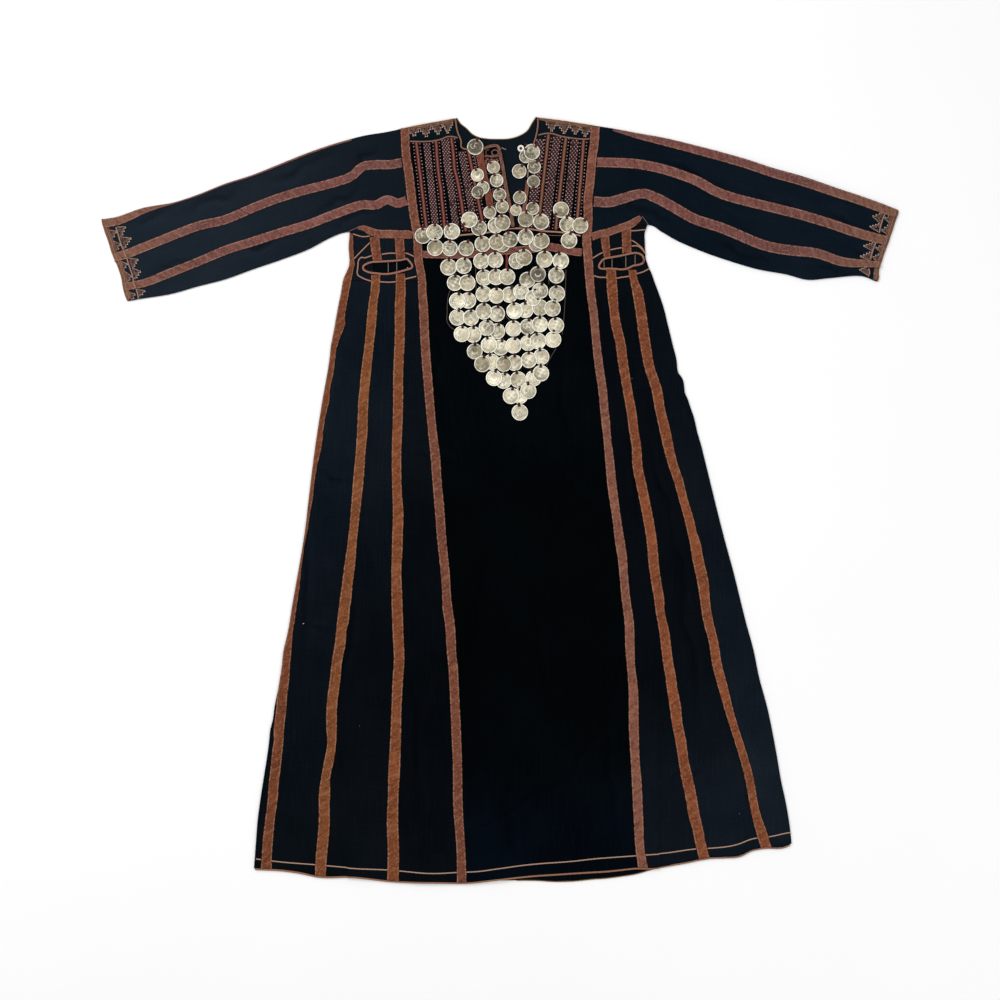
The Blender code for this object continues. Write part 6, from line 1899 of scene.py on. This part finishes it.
# Radius and height round the section of the button's ring.
PROFILE = ((6.1, 1.4), (5.8, 2.0), (5.1, 2.25), (4.4, 2.05), (3.7, 1.8), (3.1, 1.7), (2.75, 1.5),
           (2.7, 0.8), (2.75, 0.1), (3.6, 0.0), (5.2, 0.0), (5.9, 0.35), (6.1, 0.9))
ROUND = 40                  # steps round the button
points = np.array([(BUTTON[0] + r * math.cos(a), BUTTON[1] + r * math.sin(a), BUTTON_Z + z)
                   for r, z in PROFILE for a in ring_angles(ROUND)])
faces = []
for k in range(len(PROFILE)):
    here, there = k * ROUND, (k + 1) % len(PROFILE) * ROUND
    for i in range(ROUND):
        j = (i + 1) % ROUND
        faces.append((there + i, there + j, here + j, here + i))
register(gathered("button_ring", BONE, [(points, faces)]), "button")
strands = []
for angle in (20, 65, 110, 155):
    c, s = math.cos(math.radians(angle)), math.sin(math.radians(angle))
    line = [(BUTTON[0] + c * t, BUTTON[1] + s * t, BUTTON_Z + 0.9 + 0.5 * (1 - (t / 2.7) ** 2))
            for t in np.linspace(-2.7, 2.7, 9)]
    strands.append(tube(line, 0.85, 6))
register(gathered("button_thread", RED_THREAD, strands))

# ---------------------------------------------------------------- embroidery of the yoke
# Stripes: x at the upper and at the lower height, kind, top, bottom, and how far it strays
# sideways at the bend.
UPPER_Y, LOWER_Y, BEND_Y, BEND_REACH = 625.0, 500.0, 603.0, 24.0
Stripe = namedtuple("Stripe", "x_upper x_lower kind top bottom bend", defaults=(650, 488, 0.0))
STRIPES = [Stripe(*row) for row in (
    (-149.3, -134.5, "red"), (-131, -117.5, "checks", 649, 487),
    (-114, -101, "red", 653, 484, -1.2),
    (-97, -80.5, "checks", 656, 487, -1.5), (-83.5, -64, "red", 658, 488, -2.6),
    (-68.5, -47, "checks", 634, 488), (-55.5, -31, "red", 636, 489),
    (84, 70, "tan", 664, 494), (99.5, 83.5, "checks", 662, 492), (116, 102.5, "tan", 658, 491),
    (133.5, 120.5, "checks", 655, 490), (150, 140, "tan", 654, 487),
    (69.5, 55, "checks", 655, 495))]
# Counted checks of the left and the right half: half steps across and along, size of a stitch,
# width of the dark ground.
Check = namedtuple("Check", "across along stitch ground")
CHECKS = {"left": Check(2.55, 3.37, 2.25, 12.6), "right": Check(3.05, 3.67, 2.45, 14.6)}
DASH_PITCH, DASH_REACH = 6.2, 5.8


def stripe_x(stripe, y):
    moved = (stripe.x_lower - stripe.x_upper) * (UPPER_Y - y) / (UPPER_Y - LOWER_Y)
    return stripe.x_upper + moved + stripe.bend * np.exp(-((y - BEND_Y) / BEND_REACH) ** 2)


def patch(x, y, ux, uy, size, tone, wide=1.0):
    """One counted stitch, about as wide as it is long."""
    return Stitch(x + dice.uniform(-0.16, 0.16), y + dice.uniform(-0.16, 0.16), ux * size / 2,
                  uy * size / 2, size * wide, 0.6, 0.0, tone + dice.uniform(-0.15, 0.35))


def stripe_strip(stripe, width, wall_z, swell, seed):
    """A strip of embroidery along a stripe, with its points, faces and cloth coordinates."""
    ys = np.append(np.arange(stripe.bottom, stripe.top, 6.0), stripe.top)
    line = [(stripe_x(stripe, y) + 0.35 * noise_1d(y, seed, 41.0), y, width) for y in ys]
    return ribbon(line, lift=0.0, wall=wall_z, seed=seed, edge=-0.1, swell=swell, pucker=0.08)


pink, strips = [], {"red": [], "tan": [], "checks": []}
for index, stripe in enumerate(STRIPES):
    lean = (stripe.x_lower - stripe.x_upper) / (LOWER_Y - UPPER_Y)
    size = math.hypot(lean, 1.0)
    ux, uy = lean / size, 1.0 / size
    if stripe.kind == "checks":
        check = CHECKS["right" if stripe.x_upper > 0 else "left"]
        strips["checks"].append(stripe_strip(stripe, check.ground, 0.22, 0.05, index))
        for k, y in enumerate(np.arange(stripe.bottom + 1.2, stripe.top - 0.8, check.along)):
            for across in ((-2, 0, 2) if k % 2 else (-1, 1)):
                if dice.random() > 0.03:
                    pink.append(patch(stripe_x(stripe, y) + across * check.across, y, ux, uy,
                                      check.stitch, 0.2 * noise_1d(y, index, 60.0)))
        continue
    strips[stripe.kind].append(stripe_strip(stripe, 7.6, 0.5, 0.55, index))
    for side in (-1, 1):
        shift = dice.uniform(0, DASH_PITCH)
        for y in np.arange(stripe.bottom + shift, stripe.top - 1.0, DASH_PITCH):
            pink.append(patch(stripe_x(stripe, y) + side * DASH_REACH, y, ux, uy, 1.9, 0.15, 1.1))
register(sew("yoke_embroidery", pink, PINK_STITCH))
register(gathered("yoke_stripes_red", STRIPE_RED, strips["red"]))
register(gathered("yoke_stripes_tan", STRIPE_TAN, strips["tan"]))
register(gathered("yoke_check_ground", CHECK_GROUND, strips["checks"]))

# Counted triangles that hang from the shoulder seams and stand along the cuffs:
# the two ends of the base, then the tip.
Peak = namedtuple("Peak", "x1 y1 x2 y2 tip_x tip_y")
SHOULDER_PEAKS = [Peak(*row) for row in (
    (-167, 674.4, -147, 678, -156, 662), (-147.6, 678.4, -125, 682.4, -134, 660.6),
    (-125.4, 682.4, -104, 686.2, -112.5, 665), (-104.4, 686.2, -86, 689.4, -95.5, 667),
    (83, 691, 104, 688.6, 94.5, 670.4), (104.4, 688.4, 127, 684.6, 117, 666),
    (126.6, 684.6, 147, 681.2, 137.4, 665), (146.6, 681.2, 166, 678, 154.6, 661))]
CUFF_PEAKS = [Peak(*row) for row in (
    (-710.9, 490.5, -705.3, 474.0, -698.8, 488.2), (-705.3, 471.2, -698.2, 451.8, -691.6, 464.9),
    (-693.3, 434.8, -684.2, 418.8, -679.1, 429.1), (-685.3, 416.6, -676.8, 396.1, -671.2, 406.9),
    (-675.7, 376.8, -670.0, 362.0, -664.9, 374.5),
    (-696.7, 496.2, -689.3, 478.0, -682.3, 496.2), (-690.5, 478.0, -684.2, 456.4, -672.0, 475.7),
    (-676.2, 439.3, -668.3, 420.5, -659.2, 437.0), (-668.8, 421.1, -664.3, 400.6, -654.3, 415.4),
    (-659.8, 382.4, -655.2, 369.9, -646.7, 380.2),
    (712.6, 518.0, 709.8, 500.9, 700.4, 511.2), (709.8, 500.9, 706.4, 481.6, 694.7, 489.0),
    (700.7, 464.5, 695.0, 448.6, 683.7, 457.1), (692.7, 447.5, 688.2, 429.3, 678.6, 440.6),
    (687.0, 417.6, 685.9, 404.2, 680.8, 410.4),
    (696.2, 521.4, 691.6, 503.2, 678.3, 514.6), (693.3, 502.1, 689.9, 486.1, 673.4, 496.1),
    (682.5, 467.9, 678.0, 452.0, 662.0, 461.1), (677.4, 450.9, 673.4, 433.8, 655.8, 441.8),
    (667.7, 423.6, 670.0, 407.7, 654.6, 417.9))]
SHOULDER_Y = 600.0          # the shoulder peaks lie above it, the cuff peaks below
COUNT = 2.2                 # step of the counted stitches
TOOTH = 4.8                 # height of the steps along a peak's side
PEAK_BASE = 3.2             # height of the worked row that the shoulder peaks hang from
peak_fill, peak_rim = [], []
for peak in SHOULDER_PEAKS + CUFF_PEAKS:
    first, second = np.array((peak.x1, peak.y1)), np.array((peak.x2, peak.y2))
    tip = np.array((peak.tip_x, peak.tip_y))
    side = (second - first) / np.linalg.norm(second - first)
    up = np.array((-side[1], side[0]))
    up = up if np.dot(up, tip - first) > 0 else -up
    height, base = float(np.dot(up, tip - first)), float(np.linalg.norm(second - first))
    if peak.y1 > SHOULDER_Y:
        for row in (0.4, 2.2):
            for t in np.arange(0.6, base, COUNT):
                peak_fill.append(patch(*(first + side * t + up * row), *up, 1.9, 0.2))
        first, second = first + up * PEAK_BASE, second + up * PEAK_BASE
        height -= PEAK_BASE
    for start in (first, second):
        reach = tip - start
        rise, run = float(np.dot(reach, up)), float(np.dot(reach, side))
        stepped = peak.y1 > SHOULDER_Y or (start is second) == (peak.x1 < 0)
        steps = max(2, int(round(rise / TOOTH))) if stepped else 1
        for k in range(steps):
            at = start + reach * k / steps
            over = side * run / steps / 2
            moves = (over, up * rise / steps, over) if stepped else (reach,)
            for move in moves:
                length = float(np.linalg.norm(move))
                for t in np.arange(0.7, length, 2.0):
                    peak_rim.append(Stitch(*(at + move * t / length), *(move / length * 1.1),
                                           1.3, 0.5, 0.0, dice.uniform(0.3, 1.1)))
                at = at + move
                if move is moves[len(moves) // 2]:
                    peak_rim.append(patch(*at, *up, 1.7, -0.5))
    rows = max(3, int(round(height / COUNT)))
    for k in range(rows + 1):
        share = k / rows
        a, b = first + (tip - first) * share, second + (tip - second) * share
        cells = max(1, int(round(base * (1 - share) / COUNT)))
        for c in range(cells):
            spot = (a + b) / 2 + side * (c - (cells - 1) / 2) * COUNT
            if dice.random() < 0.86:
                peak_fill.append(patch(*spot, *up, 1.9, 0.3))
register(sew("peak_fill", peak_fill, BROWN_STITCH))
register(sew("peak_rims", peak_rim, TAN_STITCH))

# Rust edges along the shoulder seams.
SHOULDER_EDGES = (((-172, 674.4, 4.4), (-150, 678.6, 4.6), (-120, 684.2, 4.6), (-84, 690.9, 4.4)),
                  ((172, 678.2, 4.4), (150, 681.5, 4.6), (120, 686.3, 4.6), (71, 692.4, 4.4)))
register(band_piece("shoulder_edges", SHOULDER_EDGES, SHOULDER_CLOTH, lift=0.1, wall=0.8))

# ---------------------------------------------------------------- placket details
PLACKET_LIFT = STACK + 0.1
PLACKET_LINE = ((-35.8, 637, 12.4), (-35.6, 623, 12.6), (-31.5, 600, 12), (-26.4, 579, 11.4),
                (-22.2, 560, 12.2), (-19.2, 542, 12.6), (-17, 524, 12))
PLACKET_EDGES = (((-0.4, 632, 5.6), (4.8, 605, 6), (11.3, 566, 6.2), (18.9, 527, 6.2),
                  (24.1, 496, 5.8)),
                 ((-29, 638, 5), (-22, 641, 5), (-12, 643.4, 5), (-5, 642.6, 5.2), (-1.4, 637, 5.4),
                  (-0.6, 631, 5.4)),
                 ((-28, 624.6, 3.4), (-14, 624, 3.6), (-2, 624.4, 3.4)))
register(band_piece("placket_band", [PLACKET_LINE], PLACKET_BAND, lift=PLACKET_LIFT, wall=0.6))
register(band_piece("placket_edge", PLACKET_EDGES, PLACKET_EDGE, lift=PLACKET_LIFT, wall=0.6,
                    columns=7))
# The worked buttonhole: centre x, reach across and down, thickness, half turns it goes round.
BUTTONHOLE_Y = 630.6
worked = []
for centre_x, reach_x, reach_y, thick, turn in ((-9.1, 5.9, 4.9, 1.05, 2.0),
                                                (-21.2, 4.6, 5.4, 0.55, 1.3)):
    hole_line = [(centre_x + reach_x * math.cos(a), BUTTONHOLE_Y + reach_y * math.sin(a))
                 for a in np.arange(12) * turn * np.pi / 12 + 1.2]
    worked.append(cord(hole_line, thick, closed=turn == 2.0, lift=STACK, sides=6))
register(gathered("buttonhole_thread", HOLE_THREAD, worked))


def level_thread(line, step, z, radius, sides):
    """Thread that lies level at the height z."""
    spots = route(line, step)
    return tube(np.column_stack([spots, np.full(len(spots), z)]), radius, sides)


register(gathered("back_neck_roll", CUFF_ROLL, [
    level_thread([(x, y + 0.4) for x, y in NECK_BACK], 1.6, CLOTH + 0.1, 0.85, 6)]))
flecks = []
for _ in range(520):
    y = dice.uniform(524, 621)
    left, right = -29.5 + (621 - y) * 0.145, -2.5 + (621 - y) * 0.2
    x = dice.uniform(left + 1, right - 1)
    if 606 < y or dice.random() < 0.55:
        flecks.append(Stitch(x, y, dice.uniform(0.7, 1.5), dice.uniform(-0.6, 0.6), 0.9, 0.4,
                             STACK, dice.uniform(0.2, 1.0)))
for y in np.arange(603, 629, 3.4):
    x = -45.2 + (628 - y) * 0.2
    flecks += [Stitch(x + side * 1.9, y + side * 0.8, 1.0, -0.2, 1.5, 0.5, STACK, 0.5)
               for side in (-1, 1)]
register(sew("placket_flecks", flecks, PINK_STITCH))
TAIL = ((3, 640, 3.9), (5, 639, 4.4), (7, 638, 3.6), (9.6, 637.4, 2.2), (11.5, 638.6, 1.7))
register(gathered("thread_tail", WHITE_THREAD, [tube(TAIL, 0.4, 5)]))
specks = [Stitch(x, y, size, size / 2, size * 1.3, 0.4, 0.0, 0.0) for x, y, size in (
    (-358, -226, 1.1), (-168, 422, 0.9), (240, 220, 0.55), (436, -572, 0.55), (-256, -412, 0.4))]
register(sew("white_lint", specks, WHITE_THREAD))

# Single pale stitches inside the pocket slits and at the underarms.
SLIT_LINES = (((-203.5, 413), (-203.5, 432)), ((-188, 414), (-188, 433)),
              ((189.5, 422), (189.5, 437)), ((204, 421), (204, 440)), ((229, 421), (229, 444)),
              ((246, 427), (246, 447)))
SEAM_LINES = (((-258, 496), (-268, 491), (-277, 487)), ((259, 515), (265, 507), (270, 500)),
              ((85, 481), (100, 480.4), (115, 480)))
LOOP = [(459 + 2.4 * math.cos(a), -540 + 2.0 * math.sin(a)) for a in np.arange(6) * 1.05]
register(gathered("slit_stitches", SLIT_THREAD, [
    level_thread(line, 2.0, CLOTH + 0.35, 0.5, 5) for line in SLIT_LINES]))
register(gathered("seam_threads", BROWN_STITCH, [
    *(cord(line, 0.4, sides=5) for line in SEAM_LINES),
    cord(LOOP, 0.6, closed=True, lift=STACK, sides=5)]))

# ---------------------------------------------------------------- the cloth's cut
# What shows of each cut piece, all round on the sleeves: width and length in metres, the area
# in square metres where the cut isn't a rectangle, what it lies on, and the trims sewn to it.
BACK = ("back_panel",)
Cut = namedtuple("Cut", "piece width length area rests_on trims", defaults=(None, BACK, ()))
CUTS = [Cut(*row) for row in (
    ("back_panel", 0.89, 1.40, 0.865, (), ("back_hem_roll", "back_neck_roll")),
    ("centre_front_panel", 0.42, 1.19, 0.375, BACK, ("hem_binding_roll",)),
    ("gore_left_outer", 0.20, 1.09, 0.092), ("gore_left_middle", 0.15, 1.10, 0.100),
    ("gore_left_inner", 0.13, 1.10, 0.095), ("gore_right_inner", 0.21, 1.07, 0.071),
    ("gore_right_middle", 0.28, 1.06, 0.090), ("side_panel_left", 0.18, 1.16, 0.065),
    ("side_panel_right", 0.26, 1.04, 0.109),
    ("sleeve_left", 0.42, 0.58, 0.186, BACK, ("cuff_roll_left", "cuff_facing_left")),
    ("sleeve_right", 0.42, 0.58, 0.192, BACK, ("cuff_roll_right", "cuff_facing_right")),
    ("yoke_left", 0.20, 0.21, 0.0315),
    ("yoke_right", 0.14, 0.22, 0.0235, BACK, ("front_edge_right_cloth",)),
    ("underarm_panel_left", 0.137, 0.09, 0.0083, BACK, ("slit_binding_left",)),
    ("underarm_panel_right", 0.12, 0.10, 0.0077, BACK, ("slit_binding_right",)),
    ("gusset_left", 0.035, 0.052, 0.0012), ("gusset_right", 0.063, 0.104, 0.0059),
    ("placket", 0.066, 0.15, 0.0064, ("yoke_left",), ("placket_band", "placket_edge")),
    ("seam_band_a", 0.018, 1.10, None, ("side_panel_left", "gore_left_outer")),
    ("seam_band_b", 0.020, 1.10, None, ("gore_left_outer", "gore_left_middle")),
    ("seam_band_c", 0.020, 1.11, None, ("gore_left_middle", "gore_left_inner")),
    ("seam_band_d", 0.018, 1.38, None, ("gore_left_inner", "centre_front_panel")),
    ("seam_band_e", 0.018, 1.34, None, ("centre_front_panel", "gore_right_inner")),
    ("seam_band_f", 0.020, 1.07, None, ("gore_right_inner", "gore_right_middle")),
    ("seam_band_g", 0.019, 1.06, None, ("gore_right_middle", "side_panel_right")),
    ("sleeve_left_band_top", 0.015, 0.49, 0.0032, ("sleeve_left",)),
    ("sleeve_left_band_middle", 0.018, 0.58, None, ("sleeve_left",)),
    ("sleeve_left_band_lower", 0.018, 0.56, None, ("sleeve_left",)),
    ("sleeve_right_band_top", 0.017, 0.55, None, ("sleeve_right",)),
    ("sleeve_right_band_middle", 0.018, 0.57, None, ("sleeve_right",)),
    ("sleeve_right_band_lower", 0.018, 0.56, None, ("sleeve_right",)),
    ("armhole_band_left", 0.015, 0.11, None, ("gore_left_middle",)),
    ("armhole_band_right", 0.015, 0.10, None, ("gore_right_middle",)),
    ("armhole_band_left_stubs", 0.020, 0.08, None, ("gore_left_middle",)),
    ("armhole_band_right_stubs", 0.020, 0.08, None, ("gore_right_middle",)),
    ("yoke_band", 0.015, 0.30, None, ("centre_front_panel",)),
    ("shoulder_edges", 0.010, 0.20, 0.0011, ("yoke_left", "yoke_right")))]
for cut in CUTS:
    piece = bpy.data.objects.get(cut.piece + "_cloth") or bpy.data.objects[cut.piece]

# ---------------------------------------------------------------- stage
def area_light(name, place, size, power):
    """Round lamp aimed at the middle of the garment."""
    data = bpy.data.lights.new(name, "AREA")
    data.shape, data.size, data.energy = "DISK", size, power
    light = bpy.data.objects.new(name, data)
    light.location = place
    light.rotation_euler = (-Vector(place)).to_track_quat("-Z", "Y").to_euler()
    bpy.context.scene.collection.objects.link(light)


FLOOR_REACH, FLOOR_Z = 6.0, -0.0006     # metres
floor_mesh = bpy.data.meshes.new("studio_floor")
floor_mesh.from_pydata([(x * FLOOR_REACH, y * FLOOR_REACH, FLOOR_Z)
                        for x, y in ((-1, -1), (1, -1), (1, 1), (-1, 1))], [], [(0, 1, 2, 3)])
paper = Shader("studio_paper")
mottled = paper.noise(paper.place(), 3.0)
paper.finish(paper.mix(mottled, (0.91, 0.91, 0.91), (0.93, 0.93, 0.93)), Roughness=0.9,
             Specular_IOR_Level=0.1)
floor_mesh.materials.append(paper.material)
floor = bpy.data.objects.new("studio_floor", floor_mesh)
bpy.context.scene.collection.objects.link(floor)
floor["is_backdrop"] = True

world = bpy.data.worlds.new("studio")
world.use_nodes = True
world.node_tree.nodes["Background"].inputs[0].default_value = (1.0, 1.0, 1.0, 1.0)
world.node_tree.nodes["Background"].inputs[1].default_value = WORLD_LIGHT
bpy.context.scene.world = world
area_light("key", (-1.9, 1.5, 2.3), 1.4, KEY_LIGHT)
area_light("fill", (2.2, -1.2, 2.6), 2.2, FILL_LIGHT)

camera_data = bpy.data.cameras.new("camera")
camera_data.lens, camera_data.sensor_width = LENS, SENSOR
camera = bpy.data.objects.new("camera", camera_data)
MIDDLE_ROW = 499.5          # row of the view's pixels at y = 0
VIEW_CENTRE_Y = (MIDDLE_ROW - VIEW_SIZE / 2) * PIXEL    # mm
distance = VIEW_SIZE * PIXEL * LENS / SENSOR + TOP_Z
camera.location = (0.0, VIEW_CENTRE_Y * MM, distance * MM)
bpy.context.scene.collection.objects.link(camera)
bpy.context.scene.camera = camera
bpy.context.scene.view_settings.view_transform = "Standard"

low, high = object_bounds()
